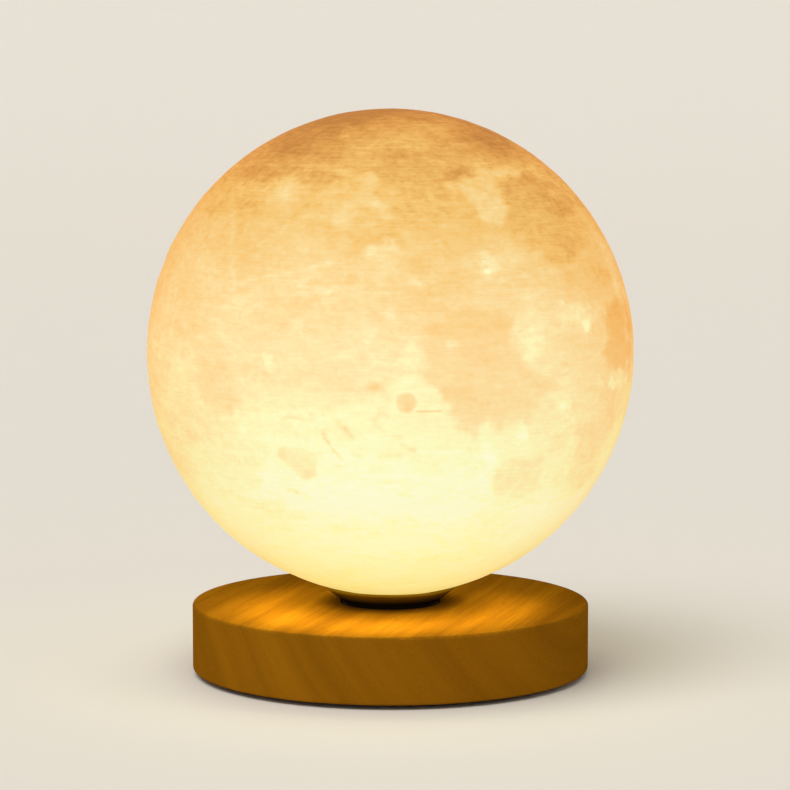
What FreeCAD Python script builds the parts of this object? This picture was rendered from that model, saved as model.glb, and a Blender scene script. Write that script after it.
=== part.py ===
"""Rotating globe lamp: a hollow translucent globe on a slowly turning cup, over a round wooden base.

The base holds a flat gear motor, a control board with a power socket and a push button, and a fixed
hollow post that carries the light head up into the globe. The cup turns round that post on two thin
ball bearings, driven by a toothed ring. Millimetres, +Z up, origin on the floor under the axis.
"""
import FreeCAD, Part
import math
import os
import re

import Sketcher

Vector = FreeCAD.Vector

# Driving sizes: alias, value, meaning. Heights and radii that are not here are worked out from these.
SIZES = {
    # globe
    "globe_radius": (75.0, "outside of the globe"),
    "globe_wall": (1.6, "printed wall"),
    "globe_lift": (2.9, "lowest point of the full sphere above the wood"),
    "globe_hole": (14.8, "radius of the opening under the globe"),
    "collar_bore": (12.0, "radius inside the collar, which passes over the light head"),
    "collar_lip": (3.2, "how far the collar's lip reaches out inside the globe"),
    "collar_lip_rise": (3.6, "height of the collar's lip above the globe's opening"),
    # wooden base
    "wood_radius": (61.5, "outside of the base"),
    "wood_height": (20.4, "height of the wood"),
    "wood_top_thick": (4.5, "wood over the cavity"),
    "wood_wall": (5.5, "wood round the cavity"),
    "wood_edge_round": (0.8, "rounding of the outer edges"),
    "ear_radius": (5.5, "screw ears inside the cavity"),
    "ear_inset": (4.5, "ear centre inside the cavity wall"),
    # bottom cover, feet and screws
    "foot_out": (1.4, "gap under the wood"),
    "foot_radius": (5.0, "rubber foot"),
    "foot_seat": (0.6, "depth of the foot's seat in the cover"),
    "foot_circle": (46.0, "feet from the axis"),
    "cover_thick": (2.0, "bottom cover"),
    "cover_recess": (0.3, "cover up inside the wood"),
    "cover_ledge": (2.3, "width of the ledge that the cover meets"),
    "cover_tongue_long": (5.6, "cover's tongue into the notch"),
    "fit_gap": (0.1, "clearance of pieces that drop into a seat"),
    "press_gap": (0.02, "clearance of pieces that are pushed or glued home"),
    "cover_screw_radius": (1.2, "wood screw shank"),
    "cover_screw_head": (2.4, "wood screw head"),
    "cover_screw_long": (9.0, "wood screw shank length"),
    "head_cone": (1.2, "height of a countersunk head"),
    "recess_wide": (0.4, "width of a cross recess's arms"),
    "recess_deep": (0.6, "depth of a cross recess"),
    "screw_gap": (0.05, "clearance round a screw"),
    "screw_end_gap": (0.8, "a screw's end short of the far face"),
    # hollow post
    "post_radius": (7.5, "bearing seat of the post"),
    "post_bore": (5.0, "radius of the wire way in the post"),
    "post_flange": (13.8, "radius of the post's foot"),
    "post_flange_thick": (3.0, "post foot"),
    "post_shoulder": (8.3, "radius of the shoulder under the lower bearing"),
    "post_screw_circle": (11.2, "post screws from the axis"),
    "post_screw_radius": (1.0, "post screw shank"),
    "post_screw_head": (1.9, "post screw head"),
    "post_above_floor": (13.7, "post above the cup's floor"),
    "wire_slot": (4.0, "width of the wire slot in the post's foot"),
    "clip_thick": (0.8, "spring clips"),
    "clip_grip": (0.5, "how deep a clip sits in its groove"),
    "clip_out": (1.1, "how far a clip stands out of its groove"),
    # bearings
    "bearing_width": (4.0, "both bearings"),
    "bearing_outer": (10.5, "outside radius of both bearings"),
    "race_wall": (1.1, "thickness of a race at its shoulder"),
    "ball_radius": (0.8, "balls"),
    "ball_gap": (0.05, "clearance of a ball in its groove"),
    "ball_count": (14, "balls in a bearing"),
    "cage_thick": (0.5, "ball cage wall"),
    "cage_width": (2.8, "ball cage height"),
    "cage_pocket_gap": (0.1, "clearance of a ball in its cage"),
    # turning hub and cup
    "turn_gap": (0.7, "gap between the cup and the wood"),
    "hub_wall": (1.9, "wall of the hub over the upper bearing"),
    "hub_lower_wall": (1.3, "wall of the hub where the ring gear sits"),
    "hub_lip": (0.9, "lip that keeps the outer races apart"),
    "hub_floor_gap": (1.5, "hub above the post's foot"),
    "hub_end_gap": (0.4, "lower bearing above the hub's end"),
    "flange_thick": (1.8, "hub flange under the cup"),
    "flange_radius": (14.9, "hub flange"),
    "hub_side_gap": (0.6, "gap round the hub in the wood"),
    "cup_foot": (15.2, "radius of the cup at the wood"),
    "cup_rim": (21.0, "radius of the cup at its rim"),
    "cup_rim_flat": (1.2, "width of the rim's edge"),
    "cup_edge_round": (0.5, "rounding of the cup's foot and rim"),
    "cup_floor": (2.6, "cup floor"),
    "cup_bore": (10.0, "hole in the cup's floor"),
    "seat_gap": (0.15, "gap between the globe and what it sits on"),
    "collar_seat_gap": (0.4, "gap round the collar in the cup"),
    "pin_side_gap": (0.2, "gap round a drive pin in the collar"),
    "cup_screw_circle": (13.6, "cup screws from the axis"),
    "cup_screw_radius": (0.7, "cup screw shank"),
    "cup_screw_head": (1.1, "cup screw head"),
    "cup_screw_bite": (2.0, "cup screw in the wood"),
    "pin_radius": (0.7, "drive pins"),
    "pin_circle": (13.4, "drive pins from the axis"),
    "pin_out": (1.6, "drive pins above the cup's floor"),
    "pin_in": (1.2, "drive pins in the cup's floor"),
    # toothed ring and pinion
    "gear_module": (0.8, "tooth size"),
    "gear_teeth": (60, "teeth on the ring"),
    "pinion_teeth": (15, "teeth on the pinion"),
    "gear_thick": (3.0, "ring gear"),
    "gear_gap": (0.7, "ring gear under the wood"),
    "gear_backlash": (0.16, "play between the teeth"),
    "gear_spread": (0.05, "extra distance between the axes"),
    "key_width": (1.6, "key between hub and ring gear"),
    "key_height": (1.2, "radial height of the key"),
    # motor
    "motor_radius": (12.0, "motor can"),
    "motor_offset": (4.0, "output shaft off the can's centre"),
    "motor_wall": (0.6, "motor can wall"),
    "motor_floor_gap": (0.2, "motor can above the cover"),
    "motor_gap": (0.4, "motor plate under the ring gear"),
    "motor_plate": (0.8, "motor plate"),
    "motor_ear": (3.2, "motor ears"),
    "motor_ear_circle": (16.2, "ear screws from the can's centre"),
    "motor_screw_radius": (1.0, "motor screw shank"),
    "motor_screw_head": (1.9, "motor screw head"),
    "motor_screw_cap": (1.2, "motor screw head height"),
    "motor_screw_bite": (4.5, "motor screw in its boss"),
    "motor_boss_wall": (1.8, "wall of a screw boss under the motor plate"),
    "shaft_radius": (1.5, "motor shaft"),
    "bush_wall": (1.0, "output bush"),
    "bush_rise": (0.2, "output bush above the plate"),
    "bush_drop": (2.0, "output bush below the plate"),
    "shaft_end_gap": (0.4, "shaft above the can's floor"),
    "shaft_out": (0.3, "shaft above the pinion"),
    "running_gap": (0.05, "shaft in its bush"),
    # rear panel, socket and button
    "notch_width": (34.4, "notch in the wood for the rear panel"),
    "notch_height": (13.2, "height of the notch"),
    "panel_inset": (2.5, "panel face inside the outside of the wood"),
    "panel_thick": (1.6, "panel"),
    "panel_side_gap": (0.2, "panel in its notch"),
    "board_width": (32.0, "control board"),
    "board_length": (22.5, "control board, front to back"),
    "board_thick": (1.2, "control board"),
    "board_lift": (2.5, "board above the cover"),
    "board_gap": (0.9, "board behind the panel"),
    "board_screw_side": (13.0, "board screws from the middle"),
    "board_screw_front": (8.0, "board screws from the board's front edge"),
    "board_screw_radius": (0.8, "board screw shank"),
    "board_screw_head": (1.6, "board screw head"),
    "board_screw_cap": (0.9, "board screw head height"),
    "board_boss_wall": (1.2, "wall of a screw boss under the board"),
    "socket_width": (8.9, "power socket"),
    "socket_height": (3.3, "power socket"),
    "socket_depth": (7.4, "power socket, front to back"),
    "socket_wall": (0.3, "power socket shell"),
    "socket_side": (7.5, "power socket from the middle"),
    "tongue_width": (6.7, "contact tongue"),
    "tongue_thick": (0.7, "contact tongue"),
    "tongue_back": (1.2, "tongue behind the socket's mouth"),
    "switch_size": (6.6, "switch body"),
    "switch_depth": (6.0, "switch body, front to back"),
    "switch_side": (-7.5, "switch from the middle"),
    "switch_back": (3.4, "switch face behind the panel"),
    "button_radius": (2.5, "button"),
    "button_out": (1.8, "button beyond the panel"),
    "button_gap": (0.15, "button in the panel"),
    "button_travel": (1.0, "button stroke"),
    "button_lip": (0.5, "how far the lip that keeps the button in stands out"),
    "button_lip_thick": (0.8, "that lip along the button"),
    "stem_radius": (1.3, "button stem"),
    "stem_gap": (0.2, "stem in the switch"),
    "stem_bite": (1.0, "stem inside the switch when the button is out"),
    # board parts
    "chip_size": (5.0, "controller chip"),
    "chip_height": (1.0, "controller chip"),
    "chip_side": (1.0, "controller chip from the middle"),
    "chip_front": (7.0, "controller chip from the board's front edge"),
    "capacitor_radius": (2.0, "capacitors"),
    "capacitor_height": (5.0, "capacitors"),
    "capacitor_front": (3.0, "capacitors from the board's front edge"),
    "capacitor_apart": (5.2, "between the capacitors' centres"),
    "plug_width": (5.0, "wire connectors"),
    "plug_depth": (4.0, "wire connectors, front to back"),
    "plug_height": (3.6, "wire connectors"),
    "plug_front": (0.5, "wire connectors from the board's front edge"),
    "motor_plug_side": (-8.0, "motor connector from the middle"),
    # light head
    "head_radius": (10.8, "light head"),
    "sink_thick": (3.0, "heat sink"),
    "sink_spigot": (4.0, "heat sink in the post"),
    "sink_groove": (0.5, "width of a cooling groove"),
    "sink_groove_deep": (1.6, "depth of a cooling groove"),
    "sink_groove_count": (2, "cooling grooves"),
    "wire_hole": (1.5, "wire hole in the heat sink"),
    "diffuser_wall": (1.2, "frosted dome"),
    "led_board_thick": (1.0, "light board"),
    "led_long": (3.5, "light chips"),
    "led_wide": (2.8, "light chips"),
    "led_high": (0.8, "light chips"),
    "led_circle": (5.8, "light chips from the axis"),
    "led_count": (6, "light chips"),
    # wires
    "lead_radius": (0.45, "lamp leads"),
    "lead_apart": (1.1, "between the two lamp leads"),
    "lead_bend": (3.6, "bends of the lamp leads"),
    "lead_level": (4.6, "level stretch of the lamp leads at their connector"),
    "lead_low_from": (20.3, "where the leads reach the height of the post's slot, from the axis"),
    "ribbon_radius": (0.8, "motor lead"),
    "ribbon_bearing": (60.0, "degrees from +X at which the motor lead leaves the can"),
    "ribbon_run": (8.0, "straight stretch at each end of the motor lead"),
    "ribbon_bend": (8.0, "bends of the motor lead"),
}

doc = FreeCAD.newDocument("globe_lamp")
sheet = doc.addObject("Spreadsheet::Sheet", "Sizes")
for row, (alias, (number, meaning)) in enumerate(SIZES.items(), start=1):
    sheet.set(f"A{row}", meaning)
    sheet.set(f"B{row}", str(number))
    sheet.setAlias(f"B{row}", alias)
doc.recompute()

# Heights, from the floor up.
WOOD_BOTTOM = "foot_out"
WOOD_TOP = "(foot_out + wood_height)"
CEILING = f"({WOOD_TOP} - wood_top_thick)"
COVER_BOTTOM = "(foot_out + cover_recess)"
COVER_TOP = f"({COVER_BOTTOM} + cover_thick)"
CUP_BOTTOM = f"({WOOD_TOP} + turn_gap)"
CUP_FLOOR = f"({CUP_BOTTOM} + cup_floor)"
FLANGE_BOTTOM = f"({CUP_BOTTOM} - flange_thick)"
UPPER_RACE = f"({CUP_BOTTOM} - bearing_width)"
POST_FLANGE_TOP = f"({COVER_TOP} + post_flange_thick)"
HUB_BOTTOM = f"({POST_FLANGE_TOP} + hub_floor_gap)"
LOWER_RACE = f"({HUB_BOTTOM} + hub_end_gap)"
GEAR_TOP = f"({CEILING} - gear_gap)"
GEAR_BOTTOM = f"({GEAR_TOP} - gear_thick)"
MOTOR_TOP = f"({GEAR_BOTTOM} - motor_gap)"
PLATE_BOTTOM = f"({MOTOR_TOP} - motor_plate)"
GLOBE_CENTRE = f"({WOOD_TOP} + globe_lift + globe_radius)"
POST_TOP = f"({CUP_FLOOR} + post_above_floor)"
SINK_TOP = f"({POST_TOP} + sink_thick)"
BOARD_BOTTOM = f"({COVER_TOP} + board_lift)"
BOARD_TOP = f"({BOARD_BOTTOM} + board_thick)"

# Radii and places across.
CAVITY = "(wood_radius - wood_wall)"
EAR_CIRCLE = f"({CAVITY} - ear_inset)"
COVER_SEAT = f"({CAVITY} + cover_ledge)"
BALL_CIRCLE = "((post_radius + bearing_outer) / 2)"
HUB_UPPER = "(bearing_outer + hub_wall)"
HUB_LOWER = "(bearing_outer + hub_lower_wall)"
PINION_X = "-(gear_module * (gear_teeth + pinion_teeth) / 2 + gear_spread)"
MOTOR_X = f"({PINION_X} - motor_offset)"
PANEL_FACE = "(wood_radius - panel_inset)"
PANEL_BACK = f"({PANEL_FACE} - panel_thick)"
BOARD_BACK = f"({PANEL_BACK} - board_gap)"
BOARD_FRONT = f"({BOARD_BACK} - board_length)"
SWITCH_FACE = f"({PANEL_BACK} - switch_back)"
SWITCH_MIDDLE = f"({BOARD_TOP} + switch_size / 2)"
SOCKET_MIDDLE = f"({BOARD_TOP} + socket_height / 2)"

EAR_ANGLES = (45, 135, 225, 315)
FOOT_ANGLES = (0, 90, 180, 270)
THIRD_ANGLES = (30, 150, 270)
PIN_ANGLES = (90, 210, 330)
PRESSURE_ANGLE = math.radians(20)
# Height of a tooth above and below the pitch circle, in modules.
ADDENDUM = 0.95
DEDENDUM = 1.25

# Fixed turns: a primitive that lies along Y, pointing forwards or back.
ALONG_BACK = FreeCAD.Rotation(Vector(1, 0, 0), -90)
OVERSHOOT = 2.0

WORD = re.compile(r"[a-z][a-z_]+")
parts = {}


def sized(text):
    """The text as a FreeCAD expression, with every size named as a cell of the sheet."""
    return WORD.sub(lambda m: "Sizes." + m.group(0) if m.group(0) in SIZES else m.group(0), text)


def value(text):
    """What an expression comes to now."""
    return float(sheet.evalExpression(sized(text)))


def bind(item, **properties):
    """Ties properties to expressions; two underscores stand for a dot."""
    for name, text in properties.items():
        item.setExpression(name.replace("__", "."), sized(str(text)))
    return item


def place(item, x="0", y="0", z="0", turn=None):
    """Puts a primitive at a point worked out from the sizes."""
    if turn is not None:
        item.Placement = FreeCAD.Placement(Vector(), turn)
    return bind(item, Placement__Base__x=x, Placement__Base__y=y, Placement__Base__z=z)


def polar(radius, degrees):
    """The x and y of a point at that radius and bearing, as expressions."""
    return f"({radius}) * cos({degrees} deg)", f"({radius}) * sin({degrees} deg)"


def cylinder(name, radius, height, x="0", y="0", z="0", turn=None):
    item = doc.addObject("Part::Cylinder", name)
    bind(item, Radius=radius, Height=height)
    return place(item, x, y, z, turn)


def cone(name, low, high, height, x="0", y="0", z="0"):
    item = doc.addObject("Part::Cone", name)
    bind(item, Radius1=low, Radius2=high, Height=height)
    return place(item, x, y, z)


def box(name, size, x, y, z, turn=None):
    """A box of that size; x is its middle, y and z its lowest corner."""
    item = doc.addObject("Part::Box", name)
    bind(item, Length=size[0], Width=size[1], Height=size[2])
    return place(item, f"({x}) - ({size[0]}) / 2", y, z, turn)


def sphere(name, radius, x="0", y="0", z="0", lowest=-90):
    item = doc.addObject("Part::Sphere", name)
    item.Angle1 = lowest
    bind(item, Radius=radius)
    return place(item, x, y, z)


def torus(name, ring_radius, tube_radius, z):
    item = doc.addObject("Part::Torus", name)
    bind(item, Radius1=ring_radius, Radius2=tube_radius)
    return place(item, z=z)


def cut(name, base, *tools):
    item = doc.addObject("Part::Cut", name)
    item.Base = base
    item.Tool = tools[0] if len(tools) == 1 else group(name + "_tools", tools)
    return item


def fuse(name, *pieces):
    item = doc.addObject("Part::MultiFuse", name)
    item.Shapes = list(pieces)
    return item


def common(name, *pieces):
    item = doc.addObject("Part::MultiCommon", name)
    item.Shapes = list(pieces)
    return item


def group(name, pieces):
    """Several solids kept apart in one piece of the document."""
    item = doc.addObject("Part::Compound", name)
    item.Links = list(pieces)
    return item


def finished(label, item):
    """Names a sub-part, which then goes to its own file."""
    item.Label = label
    parts[label] = item
    return item


def turned(name, section):
    """A turned piece: its half-section as (radius, height) corners, spun about the axis."""
    body = doc.addObject("PartDesign::Body", name)
    sketch = body.newObject("Sketcher::SketchObject", name + "_section")
    plane = [f for f in body.Origin.OriginFeatures if f.Role == "XZ_Plane"][0]
    sketch.AttachmentSupport = [(plane, "")]
    sketch.MapMode = "FlatFace"
    corners = [Vector(value(r), value(z), 0) for r, z in section]
    for start, end in zip(corners, corners[1:] + corners[:1]):
        sketch.addGeometry(Part.LineSegment(start, end), False)
    for i, (r, z) in enumerate(section):
        sketch.addConstraint(Sketcher.Constraint("Coincident", i, 2, (i + 1) % len(section), 1))
        if r == "0":
            sketch.addConstraint(Sketcher.Constraint("PointOnObject", i, 1, -2))
        else:
            across = sketch.addConstraint(Sketcher.Constraint("DistanceX", -1, 1, i, 1, corners[i].x))
            sketch.setExpression(f"Constraints[{across}]", sized(r))
        up = sketch.addConstraint(Sketcher.Constraint("DistanceY", -1, 1, i, 1, corners[i].y))
        sketch.setExpression(f"Constraints[{up}]", sized(z))
    spin = body.newObject("PartDesign::Revolution", name + "_spin")
    spin.Profile = sketch
    spin.ReferenceAxis = (sketch, ["V_Axis"])
    spin.Angle = 360
    return body


def ring(name, inner, outer, height, z):
    """A flat ring."""
    top = f"{z} + ({height})"
    return turned(name, [(inner, z), (outer, z), (outer, top), (inner, top)])


def bored(name, radius, bore, height, x, y, z, turn=None):
    """A straight bush on an axis of its own."""
    outside = cylinder(name + "_outside", radius, height, x, y, z, turn)
    inside = cylinder(name + "_inside", bore, height, x, y, z, turn)
    return cut(name, outside, inside)


def cross_recess(name, x, y, low, reach):
    """The cross that a driver turns a screw by, from its lowest height up."""
    arms = []
    for i, size in enumerate(((f"({reach}) * 2", "recess_wide"), ("recess_wide", f"({reach}) * 2"))):
        arms.append(box(f"{name}_arm{i}", (*size, "recess_deep"), x, f"{y} - ({size[1]}) / 2", low))
    return fuse(name, *arms)


def countersunk_holes(name, spots, z, head, shank, length):
    """Holes with a countersink, up from height z, with clearance for their screws."""
    made = []
    for i, (x, y) in enumerate(spots):
        top = cone(f"{name}_head{i}", f"{head} + screw_gap", f"{shank} + screw_gap", "head_cone", x, y, z)
        rod = cylinder(f"{name}_shank{i}", f"{shank} + screw_gap", f"{length} + head_cone", x, y, z)
        made.append(fuse(f"{name}_{i}", top, rod))
    return group(name, made)


def countersunk(name, spots, z, head, shank, length):
    """Countersunk screws that point up from height z."""
    made = []
    for i, (x, y) in enumerate(spots):
        top = cone(f"{name}_head{i}", head, shank, "head_cone", x, y, z)
        rod = cylinder(f"{name}_shank{i}", shank, f"{length} + head_cone", x, y, z)
        recess = cross_recess(f"{name}_cross{i}", x, y, z, f"{head} - recess_wide * 2")
        made.append(cut(f"{name}_{i}", fuse(f"{name}_blank{i}", top, rod), recess))
    return group(name, made)


def pan_heads(name, spots, z, head, cap, shank, length):
    """Pan-head screws pointing down from under the head at height z."""
    made = []
    for i, (x, y) in enumerate(spots):
        top = cylinder(f"{name}_head{i}", head, cap, x, y, z)
        rod = cylinder(f"{name}_shank{i}", shank, f"{length} + {cap}", x, y, f"{z} - ({length})")
        recess = cross_recess(f"{name}_cross{i}", x, y, f"{z} + {cap} - recess_deep",
                              f"{head} - recess_wide")
        made.append(cut(f"{name}_{i}", fuse(f"{name}_blank{i}", top, rod), recess))
    return group(name, made)


def rods(name, spots, radius, height, z):
    """Upright cylinders of one size."""
    made = [cylinder(f"{name}_{i}", radius, height, x, y, z) for i, (x, y) in enumerate(spots)]
    return group(name, made)


def rounded_edges(body, radii, rounding):
    """Rounds the circular edges of a turned body that have one of these radii."""
    doc.recompute()
    spin = body.Tip
    wanted = [value(radius) for radius in radii]
    names = []
    for i, edge in enumerate(spin.Shape.Edges, start=1):
        radius = getattr(edge.Curve, "Radius", 0.0)
        if any(abs(radius - one) < 1e-6 for one in wanted):
            names.append(f"Edge{i}")
    fillet = body.newObject("PartDesign::Fillet", body.Name + "_rounding")
    fillet.Base = (spin, names)
    bind(fillet, Radius=rounding)
    body.Tip = fillet


def tooth_angle(radius, teeth, pitch, play):
    """Half the angle that a tooth takes at a radius, from the involute of its base circle."""
    base = pitch * math.cos(PRESSURE_ANGLE)
    here = math.acos(min(1.0, base / radius))
    turn = math.tan(PRESSURE_ANGLE) - PRESSURE_ANGLE - (math.tan(here) - here)
    return math.pi / (2 * teeth) - play / (4 * pitch) + turn


def toothed_disc(teeth, module, play, thick, bore, height):
    """A spur gear on the axis, with a tooth pointing along -X."""
    pitch = module * teeth / 2
    tip, root = pitch + ADDENDUM * module, pitch - DEDENDUM * module
    flank = [root, max(root, pitch * math.cos(PRESSURE_ANGLE)), pitch, (pitch + tip) / 2, tip]
    corners = []
    for i in range(teeth):
        middle = math.pi + i * 2 * math.pi / teeth
        rising = [(r, middle - tooth_angle(r, teeth, pitch, play)) for r in flank]
        falling = [(r, middle + tooth_angle(r, teeth, pitch, play)) for r in reversed(flank)]
        corners += [Vector(r * math.cos(a), r * math.sin(a), height) for r, a in rising + falling]
    wire = Part.makePolygon(corners + corners[:1])
    disc = Part.Face(wire).extrude(Vector(0, 0, thick))
    return disc.cut(Part.makeCylinder(bore, thick, Vector(0, 0, height)))


def tube_along(points, bends, radius):
    """A round wire along straight runs joined by tangent arcs, one bend radius for each inner point."""
    edges = []
    start = points[0]
    for before, corner, after, bend in zip(points, points[1:], points[2:], bends):
        into, out = (corner - before).normalize(), (after - corner).normalize()
        half_turn = into.getAngle(out) / 2
        back = bend * math.tan(half_turn)
        first, last = corner - into * back, corner + out * back
        inward = (out - into).normalize()
        middle = corner + inward * (bend / math.cos(half_turn) - bend)
        edges += [Part.LineSegment(start, first).toShape(), Part.Arc(first, middle, last).toShape()]
        start = last
    edges.append(Part.LineSegment(start, points[-1]).toShape())
    path = Part.Wire(edges)
    along = (points[1] - points[0]).normalize()
    section = Part.Wire(Part.Circle(points[0], along, radius).toShape())
    tube = path.makePipeShell([section], True, False)
    wanted = math.pi * radius**2 * path.Length
    share = tube.Volume / wanted
    print(f"wire {path.Length:.1f} mm, volume {share:.4f} of section times length, bends {bends}")
    return tube


def shaped(name, shape):
    """A piece whose shape is worked out in code."""
    item = doc.addObject("Part::Feature", name)
    item.Shape = shape
    return item


def wooden_base():
    """Turned from solid wood, hollowed from below, with four screw ears and a notch at the back."""
    well = "(flange_radius + hub_side_gap)"
    well_floor = f"({FLANGE_BOTTOM} - turn_gap)"
    hole = f"({HUB_UPPER} + hub_side_gap)"
    rebate = f"({COVER_TOP} + fit_gap)"
    body = turned("wood_turned", [
        (COVER_SEAT, WOOD_BOTTOM),
        ("wood_radius", WOOD_BOTTOM),
        ("wood_radius", WOOD_TOP),
        (well, WOOD_TOP),
        (well, well_floor),
        (hole, well_floor),
        (hole, CEILING),
        (CAVITY, CEILING),
        (CAVITY, rebate),
        (COVER_SEAT, rebate),
    ])
    rounded_edges(body, ["wood_radius"], "wood_edge_round")
    spots = [polar(EAR_CIRCLE, a) for a in EAR_ANGLES]
    ears = rods("wood_ears", spots, "ear_radius", f"{CEILING} - {rebate} + wood_top_thick / 2", rebate)
    screw_top = f"({COVER_BOTTOM} + head_cone + cover_screw_long)"
    pilots = rods("wood_pilots", spots, "cover_screw_radius + screw_gap",
                  f"{screw_top} + fit_gap - {COVER_BOTTOM}", COVER_BOTTOM)
    notch = box("wood_notch", ("notch_width", "wood_radius", f"notch_height + {OVERSHOOT}"), "0",
                f"{CAVITY} - ear_inset", f"{WOOD_BOTTOM} - {OVERSHOOT}")
    with_ears = fuse("wood_with_ears", body, *ears.Links)
    finished("wooden_base", cut("wood_cut", with_ears, pilots, notch))


def bottom_cover():
    """Moulded cover that carries everything in the base, closed up by four countersunk wood screws."""
    disc = turned("cover_disc", [
        ("0", COVER_BOTTOM),
        (f"({COVER_SEAT} - fit_gap)", COVER_BOTTOM),
        (f"({COVER_SEAT} - fit_gap)", COVER_TOP),
        ("0", COVER_TOP),
    ])
    motor_boss_spots = motor_screw_spots()
    board_spots = board_screw_spots()
    motor_bosses = rods("motor_boss", motor_boss_spots, "motor_screw_radius + motor_boss_wall",
                        f"{PLATE_BOTTOM} - {COVER_BOTTOM}", COVER_BOTTOM)
    board_bosses = rods("board_boss", board_spots, "board_screw_radius + board_boss_wall",
                        f"{BOARD_BOTTOM} - {COVER_BOTTOM}", COVER_BOTTOM)
    ears = [polar(EAR_CIRCLE, a) for a in EAR_ANGLES]
    thirds = [polar("post_screw_circle", a) for a in THIRD_ANGLES]
    feet = [polar("foot_circle", a) for a in FOOT_ANGLES]
    cover_end = f"({PANEL_BACK} - fit_gap)"
    beyond_panel = box("cover_flat", ("wood_radius * 2", "wood_radius", f"cover_thick + {OVERSHOOT}"), "0",
                       cover_end, f"{COVER_BOTTOM} - {OVERSHOOT} / 2")
    holes = [
        countersunk_holes("cover_screw_holes", ears, COVER_BOTTOM, "cover_screw_head", "cover_screw_radius",
                          "cover_thick"),
        countersunk_holes("post_screw_holes", thirds, COVER_BOTTOM, "post_screw_head", "post_screw_radius",
                          "cover_thick"),
        rods("motor_pilots", motor_boss_spots, "motor_screw_radius + screw_gap",
             f"motor_screw_bite + screw_gap + {OVERSHOOT}", f"{PLATE_BOTTOM} - motor_screw_bite - screw_gap"),
        rods("board_pilots", board_spots, "board_screw_radius + screw_gap", f"board_lift + {OVERSHOOT}",
             COVER_TOP),
        rods("foot_seats", feet, "foot_radius + fit_gap", f"foot_seat + {OVERSHOOT}",
             f"{COVER_BOTTOM} - {OVERSHOOT}"),
        beyond_panel,
    ]
    tongue = box("cover_tongue", ("notch_width - panel_side_gap * 2", "cover_tongue_long", "cover_thick"),
                 "0", f"{cover_end} - cover_tongue_long", COVER_BOTTOM)
    blank = fuse("cover_blank", disc, tongue, motor_bosses, board_bosses)
    finished("bottom_cover", cut("cover_cut", blank, *holes))
    finished("cover_screws", countersunk("cover_screw_set", ears, COVER_BOTTOM, "cover_screw_head",
                                         "cover_screw_radius", "cover_screw_long"))
    finished("rubber_feet", rods("foot_set", feet, "foot_radius", f"{COVER_BOTTOM} + foot_seat", "0"))


def motor_screw_spots():
    return [(MOTOR_X, "motor_ear_circle"), (MOTOR_X, "-motor_ear_circle")]


def board_screw_spots():
    forward = f"{BOARD_FRONT} + board_screw_front"
    return [("board_screw_side", forward), ("-board_screw_side", forward)]


def post():
    """Hollow turned post: a foot screwed to the cover, a shoulder, and seats for two bearings."""
    groove_bottom = CUP_BOTTOM
    groove = "(post_radius - clip_grip)"
    body = turned("post_turned", [
        ("post_bore", COVER_TOP),
        ("post_flange", COVER_TOP),
        ("post_flange", POST_FLANGE_TOP),
        ("post_shoulder", POST_FLANGE_TOP),
        ("post_shoulder", LOWER_RACE),
        ("(post_radius - press_gap)", LOWER_RACE),
        ("(post_radius - press_gap)", groove_bottom),
        (groove, groove_bottom),
        (groove, f"{groove_bottom} + clip_thick"),
        ("(post_radius - press_gap)", f"{groove_bottom} + clip_thick"),
        ("(post_radius - press_gap)", POST_TOP),
        ("post_bore", POST_TOP),
    ])
    thirds = [polar("post_screw_circle", a) for a in THIRD_ANGLES]
    pilots = rods("post_pilots", thirds, "post_screw_radius + screw_gap", "post_flange_thick", COVER_TOP)
    slot = box("post_slot", ("wire_slot", f"post_flange + {OVERSHOOT}", "post_flange_thick"), "0", "0",
               COVER_TOP)
    finished("lamp_post", cut("post_cut", body, pilots, slot))
    long = "cover_thick - head_cone + post_flange_thick - screw_end_gap"
    finished("post_screws", countersunk("post_screw_set", thirds, COVER_BOTTOM, "post_screw_head",
                                        "post_screw_radius", long))
    inner = "(post_radius - clip_grip + press_gap)"
    outer = "(post_radius + clip_out)"
    finished("post_clip", spring_clip("post_clip_cut", inner, outer, groove_bottom, f"-({outer})"))


def spring_clip(name, inner, outer, z, mouth_from):
    """A flat spring clip with its mouth along Y, from that y over the clip's outer radius."""
    whole = ring(name + "_ring", inner, outer, "clip_thick - press_gap", z)
    mouth = box(name + "_mouth", (inner, outer, "clip_thick"), "0", mouth_from, z)
    return cut(name, whole, mouth)


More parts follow.
